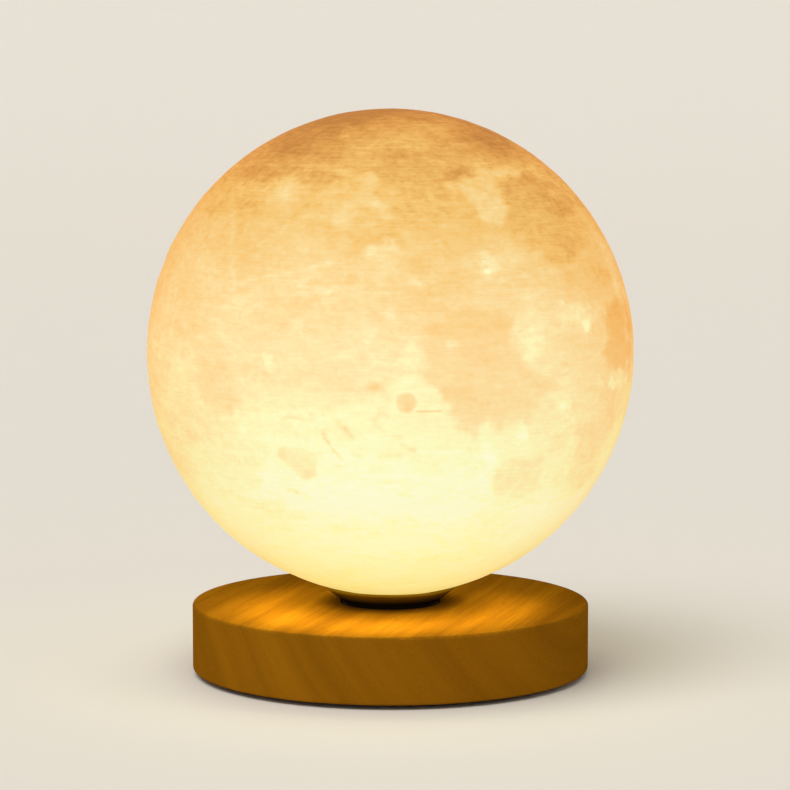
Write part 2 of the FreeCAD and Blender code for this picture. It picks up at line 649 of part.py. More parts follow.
def bearing(label, z):
    """One thin ball bearing at height z: inner race, outer race, balls and their cage."""
    middle = f"({z} + bearing_width / 2)"
    groove = torus(label + "_groove", BALL_CIRCLE, "ball_radius + ball_gap", middle)
    inner = ring(label + "_inner_ring", "post_radius", "(post_radius + race_wall)", "bearing_width", z)
    outer = ring(label + "_outer_ring", "(bearing_outer - race_wall)", "bearing_outer", "bearing_width", z)
    finished(label + "_inner_race", cut(label + "_inner", inner, groove))
    finished(label + "_outer_race", cut(label + "_outer", outer, groove))
    count = int(value("ball_count"))
    spots = [polar(BALL_CIRCLE, i * 360 / count) for i in range(count)]
    balls = [sphere(f"{label}_ball{i}", "ball_radius", x, y, middle) for i, (x, y) in enumerate(spots)]
    pockets = []
    for i in range(count):
        degrees = i * 360 / count
        bearing_of_ball = math.radians(degrees)
        outward = Vector(math.cos(bearing_of_ball), math.sin(bearing_of_ball), 0)
        turn = FreeCAD.Rotation(Vector(0, 0, 1), outward)
        x, y = polar(f"{BALL_CIRCLE} - cage_thick", degrees)
        pockets.append(cylinder(f"{label}_pocket{i}", "ball_radius + cage_pocket_gap", "cage_thick * 2",
                                x, y, middle, turn))
    inside, outside = f"({BALL_CIRCLE} - cage_thick / 2)", f"({BALL_CIRCLE} + cage_thick / 2)"
    cage = ring(label + "_cage_ring", inside, outside, "cage_width", f"({middle} - cage_width / 2)")
    finished(label + "_balls", group(label + "_ball_set", balls))
    finished(label + "_ball_cage", cut(label + "_cage", cage, *pockets))


def hub():
    """The turning hub: it holds both outer races, carries the ring gear and is screwed under the cup."""
    seat = "(bearing_outer + press_gap)"
    lip = "(bearing_outer - hub_lip)"
    lower_top = f"({LOWER_RACE} + bearing_width + press_gap)"
    clip_top = GEAR_BOTTOM
    clip_bottom = f"({GEAR_BOTTOM} - clip_thick)"
    groove = f"({HUB_LOWER} - clip_grip)"
    body = turned("hub_turned", [
        (seat, HUB_BOTTOM),
        (HUB_LOWER, HUB_BOTTOM),
        (HUB_LOWER, clip_bottom),
        (groove, clip_bottom),
        (groove, clip_top),
        (HUB_LOWER, clip_top),
        (HUB_LOWER, GEAR_TOP),
        (HUB_UPPER, GEAR_TOP),
        (HUB_UPPER, FLANGE_BOTTOM),
        ("flange_radius", FLANGE_BOTTOM),
        ("flange_radius", CUP_BOTTOM),
        (seat, CUP_BOTTOM),
        (seat, f"({UPPER_RACE} - press_gap)"),
        (lip, f"({UPPER_RACE} - press_gap)"),
        (lip, lower_top),
        (seat, lower_top),
    ])
    key_x = f"({HUB_LOWER} - key_height / 2)"
    keyway = box("hub_keyway", ("key_height + press_gap * 2", "key_width + press_gap * 2", "gear_thick"),
                 f"{key_x} + key_height / 2", "-key_width / 2 - press_gap", GEAR_BOTTOM)
    thirds = [polar("cup_screw_circle", a) for a in THIRD_ANGLES]
    holes = rods("hub_holes", thirds, "cup_screw_radius + screw_gap", "flange_thick", FLANGE_BOTTOM)
    sinks = rods("hub_sinks", thirds, "cup_screw_head + screw_gap", "flange_thick / 2", FLANGE_BOTTOM)
    finished("turntable_hub", cut("hub_cut", body, keyway, holes, sinks))
    key = box("key_block", ("key_height", "key_width", "gear_thick"), f"{key_x} + key_height / 2",
              "-key_width / 2", GEAR_BOTTOM)
    finished("gear_key", key)
    inner = f"({HUB_LOWER} - clip_grip + press_gap)"
    outer = f"({HUB_LOWER} + clip_out)"
    finished("gear_clip", spring_clip("gear_clip_cut", inner, outer, clip_bottom, "0"))


def cup():
    """Shallow wooden cup: a coned outside, a seat that follows the globe and a pocket for its collar."""
    rim_inner = "(cup_rim - cup_rim_flat)"
    sphere_here = "(globe_radius + seat_gap)"
    rim_top = f"({GLOBE_CENTRE} - sqrt(pow({sphere_here}; 2) - pow({rim_inner}; 2)))"
    pocket = "(globe_hole + collar_seat_gap)"
    blank = turned("cup_turned", [
        ("cup_bore", CUP_BOTTOM),
        ("cup_foot", CUP_BOTTOM),
        ("cup_rim", rim_top),
        (pocket, rim_top),
        (pocket, CUP_FLOOR),
        ("cup_bore", CUP_FLOOR),
    ])
    rounded_edges(blank, ["cup_foot", "cup_rim"], "cup_edge_round")
    hollow = sphere("cup_hollow", sphere_here, z=GLOBE_CENTRE)
    thirds = [polar("cup_screw_circle", a) for a in THIRD_ANGLES]
    pins = [polar("pin_circle", a) for a in PIN_ANGLES]
    pilots = rods("cup_pilots", thirds, "cup_screw_radius + screw_gap", "cup_screw_bite + screw_gap",
                  CUP_BOTTOM)
    pin_holes = rods("cup_pin_holes", pins, "pin_radius + press_gap", f"pin_in + {OVERSHOOT}",
                     f"{CUP_FLOOR} - pin_in")
    finished("turntable_cup", cut("cup_cut", blank, hollow, pilots, pin_holes))
    head = f"({FLANGE_BOTTOM} + flange_thick / 2)"
    screws = []
    for i, (x, y) in enumerate(thirds):
        cap = cylinder(f"cup_screw_cap{i}", "cup_screw_head", "flange_thick / 2", x, y, FLANGE_BOTTOM)
        rod = cylinder(f"cup_screw_rod{i}", "cup_screw_radius", "flange_thick / 2 + cup_screw_bite", x, y,
                       head)
        screws.append(fuse(f"cup_screw{i}", cap, rod))
    finished("cup_screws", group("cup_screw_set", screws))
    finished("drive_pins", rods("pin_set", pins, "pin_radius", "pin_in + pin_out", f"{CUP_FLOOR} - pin_in"))


def globe():
    """Thin printed globe, open underneath, with the collar that is glued into its opening."""
    outside = sphere("globe_outside", "globe_radius", z=GLOBE_CENTRE)
    inside = sphere("globe_inside", "globe_radius - globe_wall", z=GLOBE_CENTRE)
    opening = cylinder("globe_opening", "globe_hole", "globe_radius", z=WOOD_TOP)
    finished("moon_globe", cut("globe_shell", outside, inside, opening))
    bottom = f"({CUP_FLOOR} + seat_gap)"
    opening_top = f"({GLOBE_CENTRE} - sqrt(pow(globe_radius - globe_wall; 2) - pow(globe_hole; 2)))"
    lip_top = f"({opening_top} + collar_lip_rise)"
    tube = turned("collar_tube", [
        ("collar_bore", bottom),
        ("(globe_hole - press_gap)", bottom),
        ("(globe_hole - press_gap)", f"({opening_top} - {OVERSHOOT} / 2)"),
        ("(globe_hole + collar_lip)", f"({opening_top} - {OVERSHOOT} / 2)"),
        ("(globe_hole + collar_lip)", lip_top),
        ("collar_bore", lip_top),
    ])
    inner_space = sphere("collar_space", "globe_radius - globe_wall - press_gap", z=GLOBE_CENTRE)
    below = cylinder("collar_below", "globe_hole - press_gap", f"{lip_top} - {bottom}", z=bottom)
    limit = fuse("collar_limit", inner_space, below)
    pins = [polar("pin_circle", a) for a in PIN_ANGLES]
    holes = rods("collar_pin_holes", pins, "pin_radius + pin_side_gap", "pin_out + pin_side_gap", CUP_FLOOR)
    finished("globe_collar", cut("collar_cut", common("collar_blank", tube, limit), holes))


def gears():
    """The toothed ring on the hub and the pinion on the motor shaft, meshed at rest."""
    teeth, small = int(value("gear_teeth")), int(value("pinion_teeth"))
    module, play, thick = value("gear_module"), value("gear_backlash"), value("gear_thick")
    bore = value(f"{HUB_LOWER} + press_gap")
    low = value(GEAR_BOTTOM)
    wheel = toothed_disc(teeth, module, play, thick, bore, low)
    corner = Vector(value(f"{HUB_LOWER} - key_height / 2"), value("-key_width / 2 - press_gap"), low)
    key = Part.makeBox(value("key_height + press_gap"), value("key_width + press_gap * 2"), thick, corner)
    finished("ring_gear", shaped("gear_shape", wheel.cut(key)))
    pinion = toothed_disc(small, module, play, thick, value("shaft_radius + press_gap"), low)
    finished("pinion", shaped("pinion_shape", pinion))
    parts["pinion"].Placement = FreeCAD.Placement(Vector(value(PINION_X), 0, 0), FreeCAD.Rotation())


def motor():
    """Flat gear motor: a drawn can, a plate with two ears, an output bush and its shaft."""
    low = f"({COVER_TOP} + motor_floor_gap)"
    height = f"({PLATE_BOTTOM} - {low})"
    can = cylinder("can_outside", "motor_radius", height, MOTOR_X, "0", low)
    space = cylinder("can_inside", "motor_radius - motor_wall", height, MOTOR_X, "0", f"{low} + motor_wall")
    finished("motor_can", cut("can_cut", can, space))
    disc = cylinder("plate_disc", "motor_radius", "motor_plate", MOTOR_X, "0", PLATE_BOTTOM)
    bar = box("plate_bar", ("motor_ear * 2", "motor_ear_circle * 2", "motor_plate"), MOTOR_X,
              "-motor_ear_circle", PLATE_BOTTOM)
    ends = [cylinder(f"plate_end{i}", "motor_ear", "motor_plate", x, y, PLATE_BOTTOM)
            for i, (x, y) in enumerate(motor_screw_spots())]
    holes = rods("plate_holes", motor_screw_spots(), "motor_screw_radius + screw_gap", "motor_plate",
                 PLATE_BOTTOM)
    bush_hole = cylinder("plate_bush_hole", "shaft_radius + bush_wall + press_gap", "motor_plate", PINION_X,
                         "0", PLATE_BOTTOM)
    finished("motor_plate", cut("plate_cut", fuse("plate_blank", disc, bar, *ends), holes, bush_hole))
    bush_low = f"({PLATE_BOTTOM} - bush_drop)"
    bush = bored("bush", "shaft_radius + bush_wall", "shaft_radius + running_gap",
                 f"{MOTOR_TOP} + bush_rise - {bush_low}", PINION_X, "0", bush_low)
    finished("motor_bush", bush)
    shaft_low = f"({low} + motor_wall + shaft_end_gap)"
    finished("motor_shaft", cylinder("shaft", "shaft_radius", f"{GEAR_TOP} + shaft_out - {shaft_low}",
                                     PINION_X, "0", shaft_low))
    screws = pan_heads("motor_screw_set", motor_screw_spots(), MOTOR_TOP, "motor_screw_head",
                       "motor_screw_cap", "motor_screw_radius", "motor_plate + motor_screw_bite")
    finished("motor_screws", screws)


def board():
    """Control board at the back, with the socket, the switch body, a chip, capacitors and connectors."""
    spots = board_screw_spots()
    holes = rods("board_holes", spots, "board_screw_radius + screw_gap", "board_thick", BOARD_BOTTOM)
    blank = box("board_blank", ("board_width", "board_length", "board_thick"), "0", BOARD_FRONT, BOARD_BOTTOM)
    finished("control_board", cut("board_cut", blank, holes))
    screws = pan_heads("board_screw_set", spots, BOARD_TOP, "board_screw_head", "board_screw_cap",
                       "board_screw_radius", "board_thick + board_lift - screw_end_gap")
    finished("board_screws", screws)
    chip = box("chip", ("chip_size", "chip_size", "chip_height"), "chip_side", f"{BOARD_FRONT} + chip_front",
               BOARD_TOP)
    finished("controller_chip", chip)
    can_y = f"{BOARD_FRONT} + capacitor_front"
    cans = [("socket_side", can_y), ("socket_side + capacitor_apart", can_y)]
    finished("capacitors", rods("capacitor_set", cans, "capacitor_radius", "capacitor_height", BOARD_TOP))
    plugs = []
    for i, x in enumerate(("0", "motor_plug_side")):
        size = ("plug_width", "plug_depth", "plug_height")
        plugs.append(box(f"plug{i}", size, x, f"{BOARD_FRONT} + plug_front", BOARD_TOP))
    finished("wire_connectors", group("plug_set", plugs))


def rounded_block(name, width, depth, height, x, y, middle):
    """A block with half-round sides, lying along Y, such as a socket shell or its hole."""
    half = f"(({height}) / 2)"
    straight = f"(({width}) - ({height}))"
    flat = box(name + "_flat", (straight, depth, height), x, y, f"{middle} - {half}")
    left = cylinder(name + "_left", half, depth, f"{x} - {straight} / 2", y, middle, ALONG_BACK)
    right = cylinder(name + "_right", half, depth, f"{x} + {straight} / 2", y, middle, ALONG_BACK)
    return fuse(name, flat, left, right)


def rear_panel():
    """Panel in the notch at the back, with a slot for the socket and a hole for the button."""
    low = COVER_BOTTOM
    high = f"({WOOD_BOTTOM} + notch_height - panel_side_gap)"
    blank = box("panel_blank", ("notch_width - panel_side_gap * 2", "panel_thick", f"{high} - {low}"), "0",
                PANEL_BACK, low)
    slot = rounded_block("panel_slot", "socket_width + fit_gap * 2", f"panel_thick + {OVERSHOOT}",
                         "socket_height + fit_gap * 2", "socket_side",
                         f"{PANEL_BACK} - {OVERSHOOT} / 2", SOCKET_MIDDLE)
    hole = cylinder("panel_hole", "button_radius + button_gap", f"panel_thick + {OVERSHOOT}", "switch_side",
                    f"{PANEL_BACK} - {OVERSHOOT} / 2", SWITCH_MIDDLE, ALONG_BACK)
    finished("rear_panel", cut("panel_cut", blank, slot, hole))


def power_socket():
    """Small rounded power socket: a drawn shell and its contact tongue."""
    front = f"({PANEL_FACE} - socket_depth)"
    shell = rounded_block("socket_outside", "socket_width", "socket_depth", "socket_height", "socket_side",
                          front, SOCKET_MIDDLE)
    space = rounded_block("socket_inside", "socket_width - socket_wall * 2", "socket_depth",
                          "socket_height - socket_wall * 2", "socket_side", f"{front} + socket_wall",
                          SOCKET_MIDDLE)
    finished("socket_shell", cut("socket_cut", shell, space))
    tongue = box("tongue", ("tongue_width", "socket_depth - socket_wall - tongue_back", "tongue_thick"),
                 "socket_side", f"{front} + socket_wall", f"{SOCKET_MIDDLE} - tongue_thick / 2")
    finished("socket_tongue", tongue)


def push_switch():
    """The switch body on the board and the button that is pressed through the panel."""
    body = box("switch_body", ("switch_size", "switch_depth", "switch_size"), "switch_side",
               f"{SWITCH_FACE} - switch_depth", BOARD_TOP)
    bore_depth = "(stem_bite + button_travel + stem_gap)"
    bore = cylinder("switch_bore", "stem_radius + stem_gap", bore_depth, "switch_side",
                    f"{SWITCH_FACE} - {bore_depth}", SWITCH_MIDDLE, ALONG_BACK)
    finished("switch_body", cut("switch_cut", body, bore))
    behind = f"({PANEL_BACK} - stem_gap)"
    cap = cylinder("button_cap", "button_radius", f"{PANEL_FACE} + button_out - {behind}", "switch_side",
                   behind, SWITCH_MIDDLE, ALONG_BACK)
    lip = cylinder("button_lip", "button_radius + button_lip", "button_lip_thick", "switch_side",
                   f"{behind} - button_lip_thick", SWITCH_MIDDLE, ALONG_BACK)
    stem_end = f"({SWITCH_FACE} - stem_bite)"
    stem = cylinder("button_stem", "stem_radius", f"{behind} - {stem_end}", "switch_side", stem_end,
                    SWITCH_MIDDLE, ALONG_BACK)
    button = fuse("button_blank", cap, lip, stem)
    finished("power_button", button)


def light_head():
    """Light head on the post: heat sink, light board, light chips and a frosted dome."""
    section = [
        ("wire_hole", f"({POST_TOP} - sink_spigot)"),
        ("(post_bore - press_gap)", f"({POST_TOP} - sink_spigot)"),
        ("(post_bore - press_gap)", POST_TOP),
        ("head_radius", POST_TOP),
    ]
    grooves = int(value("sink_groove_count"))
    land = f"((sink_thick - sink_groove * {grooves}) / {grooves + 1})"
    floor = "(head_radius - sink_groove_deep)"
    for i in range(grooves):
        low = f"({POST_TOP} + {land} * {i + 1} + sink_groove * {i})"
        high = f"({low} + sink_groove)"
        section += [("head_radius", low), (floor, low), (floor, high), ("head_radius", high)]
    section += [("head_radius", SINK_TOP), ("wire_hole", SINK_TOP)]
    finished("heat_sink", turned("sink_turned", section))
    plate = "(head_radius - diffuser_wall - fit_gap * 2)"
    finished("light_board", ring("light_board_ring", "wire_hole", plate, "led_board_thick", SINK_TOP))
    count = int(value("led_count"))
    chips = []
    for i in range(count):
        degrees = i * 360 / count
        turn = FreeCAD.Rotation(Vector(0, 0, 1), degrees)
        chip = doc.addObject("Part::Box", f"light_chip{i}")
        bind(chip, Length="led_long", Width="led_wide", Height="led_high")
        near = "(led_circle - led_long / 2)"
        x = f"{near} * cos({degrees} deg) + led_wide / 2 * sin({degrees} deg)"
        y = f"{near} * sin({degrees} deg) - led_wide / 2 * cos({degrees} deg)"
        chips.append(place(chip, x, y, f"{SINK_TOP} + led_board_thick", turn))
    finished("light_chips", group("light_chip_set", chips))
    outside = sphere("dome_outside", "head_radius", z=SINK_TOP, lowest=0)
    inside = sphere("dome_inside", "head_radius - diffuser_wall", z=SINK_TOP, lowest=0)
    finished("light_diffuser", cut("dome_cut", outside, inside))


def wires():
    """Two lamp leads through the post to the light board, and the motor's lead, each on its real route."""
    low = value(f"{COVER_TOP} + wire_slot / 2 - lead_radius")
    start = value(f"{BOARD_FRONT} + plug_front")
    plug_middle = value(f"{BOARD_TOP} + plug_height / 2")
    top = value(f"{SINK_TOP} + led_board_thick")
    bend = value("lead_bend")
    lead_bearing = value("ribbon_bearing")
    leads = []
    for side in (-1, 1):
        x = side * value("lead_apart") / 2
        points = [Vector(x, start, plug_middle), Vector(x, start - value("lead_level"), plug_middle),
                  Vector(x, value("lead_low_from"), low), Vector(x, 0, low), Vector(x, 0, top)]
        leads.append(tube_along(points, [bend, bend, bend], value("lead_radius")))
    finished("lamp_leads", shaped("lead_shapes", Part.makeCompound(leads)))
    height = value(f"({COVER_TOP} + {PLATE_BOTTOM}) / 2")
    outward = Vector(math.cos(math.radians(lead_bearing)), math.sin(math.radians(lead_bearing)), 0)
    can = Vector(value(MOTOR_X), 0, height) + outward * value("motor_radius + press_gap")
    plug = Vector(value("motor_plug_side"), start, plug_middle)
    points = [can, can + outward * value("ribbon_run"), plug - Vector(0, value("ribbon_run"), 0), plug]
    bend = value("ribbon_bend")
    finished("motor_lead", shaped("ribbon_shape", tube_along(points, [bend, bend], value("ribbon_radius"))))


def export():
    """Checks every object of the document, then writes each sub-part to its own file."""
    doc.recompute()
    broken = [o.Name for o in doc.Objects if "Invalid" in o.State or "Error" in o.State]
    if broken:
        raise RuntimeError(f"these objects failed: {broken}")
    os.makedirs("parts", exist_ok=True)
    for label, item in sorted(parts.items()):
        shape = item.Shape
        if shape.isNull() or not shape.isValid() or not shape.Solids:
            raise RuntimeError(f"{label} has no valid solid")
        shape.exportStep(os.path.join("parts", label + ".step"))
    print(f"{len(parts)} nodes")


wooden_base()
bottom_cover()
post()
bearing("upper", UPPER_RACE)
bearing("lower", LOWER_RACE)
hub()
cup()
globe()
gears()
motor()
board()
rear_panel()
power_socket()
push_switch()
light_head()
wires()
export()
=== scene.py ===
"""Looks of the rotating globe lamp: camera, light, the printed globe with its relief, and all materials.

Metres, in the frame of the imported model: +Z up, -Y towards the camera.
"""
import math

import bpy
import numpy as np
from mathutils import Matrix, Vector


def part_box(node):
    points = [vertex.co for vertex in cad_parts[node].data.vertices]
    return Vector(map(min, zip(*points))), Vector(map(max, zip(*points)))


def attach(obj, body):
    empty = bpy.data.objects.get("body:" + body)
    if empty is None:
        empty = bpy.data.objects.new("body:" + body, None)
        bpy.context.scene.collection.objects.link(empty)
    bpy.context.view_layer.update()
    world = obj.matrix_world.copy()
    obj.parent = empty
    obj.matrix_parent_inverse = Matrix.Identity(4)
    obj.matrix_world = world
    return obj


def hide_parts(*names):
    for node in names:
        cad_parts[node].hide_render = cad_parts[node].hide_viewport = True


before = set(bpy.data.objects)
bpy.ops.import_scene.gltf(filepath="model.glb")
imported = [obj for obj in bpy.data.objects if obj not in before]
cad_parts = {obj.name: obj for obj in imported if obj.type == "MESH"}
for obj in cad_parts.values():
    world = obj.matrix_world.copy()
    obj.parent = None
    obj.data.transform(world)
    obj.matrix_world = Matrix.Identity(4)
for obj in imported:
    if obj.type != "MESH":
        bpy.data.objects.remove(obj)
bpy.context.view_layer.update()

MM = 0.001

# ---------------------------------------------------------------- sizes of the globe, the wood and the cup
GLOBE_LOW, GLOBE_HIGH = (np.array(corner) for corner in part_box("moon_globe"))
WOOD_FOOT, WOOD_TOP = (corner[2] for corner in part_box("wooden_base"))
CUP_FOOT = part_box("turntable_cup")[0][2]
GLOBE_R = 75.0 * MM
GLOBE_WALL = 1.6 * MM
GLOBE_C = np.array([0.0, 0.0, GLOBE_HIGH[2] - GLOBE_R])
# Radius of the opening under the globe.
OPENING_R = math.sqrt(GLOBE_R**2 - (GLOBE_C[2] - GLOBE_LOW[2]) ** 2)

# ---------------------------------------------------------------- camera
# Solved from the outlines of the globe and of the base in the photo's frame of 790 x 790 pixels. SENSOR is in
# millimetres, as Blender takes it.
FRAME_PX = 790
FOCAL_PX = 3395.7
SENSOR = 36.0
# The camera looks down by this angle, from this far, at a point of the lamp's axis.
CAMERA_UP = math.radians(6.61)
CAMERA_AWAY = 14.0 * GLOBE_R
AIM_Z = WOOD_FOOT + 1.133 * GLOBE_R
# The lamp's axis is seen this many pixels left of the picture's middle.
AXIS_PX = 4.59
CAMERA_AT = np.array([0.0, -CAMERA_AWAY * math.cos(CAMERA_UP), AIM_Z + CAMERA_AWAY * math.sin(CAMERA_UP)])
# Directions that point right, up and nearer in the camera's picture.
TO_RIGHT = np.array([1.0, 0.0, 0.0])
TO_TOP = np.array([0.0, math.sin(CAMERA_UP), math.cos(CAMERA_UP)])
TO_NEAR = np.array([0.0, -math.cos(CAMERA_UP), math.sin(CAMERA_UP)])
PICTURE_X = FRAME_PX / 2 - AXIS_PX
PICTURE_Y = FRAME_PX / 2


def make_camera():
    """The camera at the photo's viewing angle."""
    data = bpy.data.cameras.new("camera")
    data.sensor_width = SENSOR
    data.lens = SENSOR * FOCAL_PX / FRAME_PX
    data.shift_x = AXIS_PX / FRAME_PX
    data.clip_start = 10.0 * MM
    obj = bpy.data.objects.new("camera", data)
    bpy.context.collection.objects.link(obj)
    obj.location = CAMERA_AT
    obj.rotation_euler = (math.pi / 2 - CAMERA_UP, 0, 0)
    bpy.context.scene.camera = obj


# ---------------------------------------------------------------- node helpers
# A noise texture gives values from 0 to 1 that lie mostly between these.
NOISE_LOW = 0.3
NOISE_HIGH = 0.7


class Nodes:
    """A short way to write a material's nodes."""

    def __init__(self, name):
        self.material = bpy.data.materials.new(name)
        self.material.use_nodes = True
        self.tree = self.material.node_tree
        self.shader = self.tree.nodes["Principled BSDF"]
        coordinates = self.tree.nodes.new("ShaderNodeTexCoord")
        self.here = coordinates.outputs["Object"]

    def link(self, source, target):
        """Links a socket to the target, or gives the target a value."""
        if hasattr(source, "is_output"):
            self.tree.links.new(source, target)
        else:
            target.default_value = source

    def add(self, kind, values=(), **settings):
        """A node with its settings, and with values or links for its sockets."""
        node = self.tree.nodes.new("ShaderNode" + kind)
        for key, value in settings.items():
            setattr(node, key, value)
        for key, value in dict(values).items():
            self.link(value, node.inputs[key])
        return node

    def math(self, operation, first, second=None, third=None):
        node = self.add("Math", operation=operation)
        for socket, value in zip(node.inputs, (first, second, third)):
            if value is not None:
                self.link(value, socket)
        return node.outputs[0]

    def stretched(self, scale, turn=(0, 0, 0), shift=(0, 0, 0), source=None):
        """The coordinates, scaled along each axis, turned and shifted."""
        node = self.add("Mapping", {"Vector": source or self.here, "Rotation": turn, "Scale": scale,
                                    "Location": shift})
        return node.outputs[0]

    def noise(self, scale, detail=4.0, rough=0.5, source=None):
        node = self.add("TexNoise", {"Vector": source or self.here, "Scale": scale, "Detail": detail,
                                     "Roughness": rough})
        return node.outputs["Fac"]

    def ramp(self, factor, stops):
        """A colour from a row of (place, colour)."""
        node = self.add("ValToRGB", {"Fac": factor})
        band = node.color_ramp
        while len(band.elements) < len(stops):
            band.elements.new(0.5)
        for element, (place, colour) in zip(band.elements, stops):
            element.position = place
            element.color = (*colour, 1)
        return node.outputs["Color"]

    def spread(self, value, low, high, to_low=0.0, to_high=1.0):
        """The value moved from one range to another, and kept inside that."""
        node = self.add("MapRange", {"Value": value, "From Min": low, "From Max": high,
                                     "To Min": to_low, "To Max": to_high})
        return node.outputs[0]

    def varied(self, noise, to_low=0.0, to_high=1.0):
        """A noise texture's value as one between two others."""
        return self.spread(noise, NOISE_LOW, NOISE_HIGH, to_low, to_high)

    def swing(self, noise):
        """A noise texture's value as one from -1 to 1."""
        return self.varied(noise, -1, 1)

    def parts(self, vector):
        """The X, Y and Z of a vector."""
        return self.add("SeparateXYZ", {"Vector": vector}).outputs

    def from_axis(self, x, y):
        """Distance from the lamp's axis."""
        return self.math("SQRT", self.math("ADD", self.math("MULTIPLY", x, x), self.math("MULTIPLY", y, y)))

    def mix(self, factor, first, second, blend="MIX"):
        """A mix of two colours; 6, 7 and 2 are the node's sockets for colours."""
        node = self.add("Mix", {"Factor": factor, 6: first, 7: second}, data_type="RGBA", blend_type=blend)
        return node.outputs[2]

    def bump(self, height, strength, distance):
        return self.add("Bump", {"Height": height, "Strength": strength, "Distance": distance}).outputs[0]

    def set(self, **values):
        """Sets sockets of the shader; names as in Blender, with underscores for blanks."""
        for name, value in values.items():
            self.link(value, self.shader.inputs[name.replace("_", " ")])


def rgb(red, green, blue):
    """A display colour, 0 to 255, as the scene-linear colour that shaders take."""
    def linear(c):
        c /= 255
        return c / 12.92 if c <= 0.04045 else ((c + 0.055) / 1.055) ** 2.4
    return (linear(red), linear(green), linear(blue))


# ---------------------------------------------------------------- the globe's surface, in numbers
# Added to the numbers of a noise's cells, so that none is below 0.
CELL_SHIFT = 4096
# Each octave of a cloud is finer than the last by this factor, and is read this far from it.
OCTAVE_STEP = 2.03
OCTAVE_SHIFT = 17.3
# Brings a cloud to about -1 to 1.
CLOUD_SCALE = 1.6
# How fast an oval mark fades, and how flat its middle is.
OVAL_FADE = 1.1
OVAL_FLATNESS = 1.25


def hashed(cell, seed):
    """A steady pseudo-random number, 0 to 1, for each cell of a grid."""
    x, y, z = (cell[:, i].astype(np.uint64) for i in range(3))
    mixed = (x * np.uint64(73856093)) ^ (y * np.uint64(19349663)) ^ (z * np.uint64(83492791))
    mixed = (mixed ^ np.uint64(seed * 2654435761)) * np.uint64(0x9E3779B97F4A7C15)
    mixed = (mixed ^ (mixed >> np.uint64(29))) * np.uint64(0xBF58476D1CE4E5B9)
    return ((mixed >> np.uint64(40)).astype(np.float64)) / float(1 << 24)


def value_noise(points, seed):
    """Smooth noise from -1 to 1."""
    base = np.floor(points).astype(np.int64)
    f = points - base
    f = f * f * f * (f * (f * 6 - 15) + 10)
    total = np.zeros(len(points))
    for corner in range(8):
        step = np.array([corner & 1, corner >> 1 & 1, corner >> 2 & 1])
        weight = np.prod(np.where(step == 1, f, 1 - f), axis=1)
        total += weight * hashed(base + step + CELL_SHIFT, seed)
    return total * 2 - 1


def cloud(points, scale, octaves, seed, gain=0.5):
    """Fractal noise, about -1 to 1."""
    total = np.zeros(len(points))
    size = 1.0
    for octave in range(octaves):
        finer = points * scale * OCTAVE_STEP**octave + OCTAVE_SHIFT * octave
        total += size * value_noise(finer, seed + octave)
        size *= gain
    return total * (1 - gain) / (1 - gain**octaves) * CLOUD_SCALE


def cloud_vector(points, scale, seed):
    """Three clouds side by side, to bend directions with."""
    return np.stack([cloud(points, scale, 3, seed + 7 * i) for i in range(3)], axis=1)


def ease(x, low, high):
    """0 up to low and 1 from high on, with a smooth rise between them."""
    t = np.clip((x - low) / (high - low), 0, 1)
    return t * t * (3 - 2 * t)


def seen(x, y):
    """The direction from the globe's centre to the mark at that pixel of the photo's frame."""
    ray = (x - PICTURE_X) * TO_RIGHT + (PICTURE_Y - y) * TO_TOP - FOCAL_PX * TO_NEAR
    ray /= np.linalg.norm(ray)
    start = CAMERA_AT - GLOBE_C
    halfway = start @ ray
    along = -halfway - math.sqrt(halfway**2 - start @ start + GLOBE_R**2)
    return (start + along * ray) / GLOBE_R


def to_pixels(directions):
    """The pixels of the photo's frame at which directions are seen, as an array of x and y."""
    offset = directions * GLOBE_R + (GLOBE_C - CAMERA_AT)
    scale = FOCAL_PX / -(offset @ TO_NEAR)
    return np.stack([PICTURE_X + scale * (offset @ TO_RIGHT), PICTURE_Y - scale * (offset @ TO_TOP)], axis=1)


def to_segment(points, start, end):
    """Distance from points to a segment."""
    start, along = np.array(start), np.subtract(end, start)
    share = np.clip((points - start) @ along / (along @ along), 0, 1)
    return np.linalg.norm(points - start - share[:, None] * along, axis=1)


def outline_depth(points, corners):
    """How far points lie inside a closed outline; below 0 is outside."""
    inside = np.zeros(len(points), dtype=bool)
    distance = np.full(len(points), np.inf)
    for start, end in zip(corners, corners[1:] + corners[:1]):
        distance = np.minimum(distance, to_segment(points, start, end))
        crosses = (start[1] > points[:, 1]) != (end[1] > points[:, 1])
        if start[1] != end[1]:
            at = start[0] + (points[:, 1] - start[1]) * (end[0] - start[0]) / (end[1] - start[1])
            inside ^= crosses & (points[:, 0] < at)
    return np.where(inside, distance, -distance)


def oval_mask(points, x, y, wide, tall, turn):
    """A soft oval: 1 at its centre, falling to 0 a little outside its edge."""
    c, s = math.cos(math.radians(turn)), math.sin(math.radians(turn))
    dx, dy = points[:, 0] - x, y - points[:, 1]
    a, b = (dx * c + dy * s) / wide, (dy * c - dx * s) / tall
    return np.exp(-OVAL_FADE * (a * a + b * b) ** OVAL_FLATNESS)


def local_axes(centre):
    """The directions east and north of a place on the globe."""
    east = np.cross([0.0, 0.0, 1.0], centre)
    east /= np.linalg.norm(east)
    return east, np.cross(centre, east)


def blot(points, centre, across, high, turn):
    """How deep points lie in an oval about a direction: 1 at its centre, 0 on its edge, below 0 outside."""
    east, north = local_axes(centre)
    c, s = math.cos(math.radians(turn)), math.sin(math.radians(turn))
    a, b = points @ (east * c + north * s), points @ (north * c - east * s)
    inside = 1 - np.hypot(a / across, b / high)
    return np.where(points @ centre > 0, inside, -1.0)


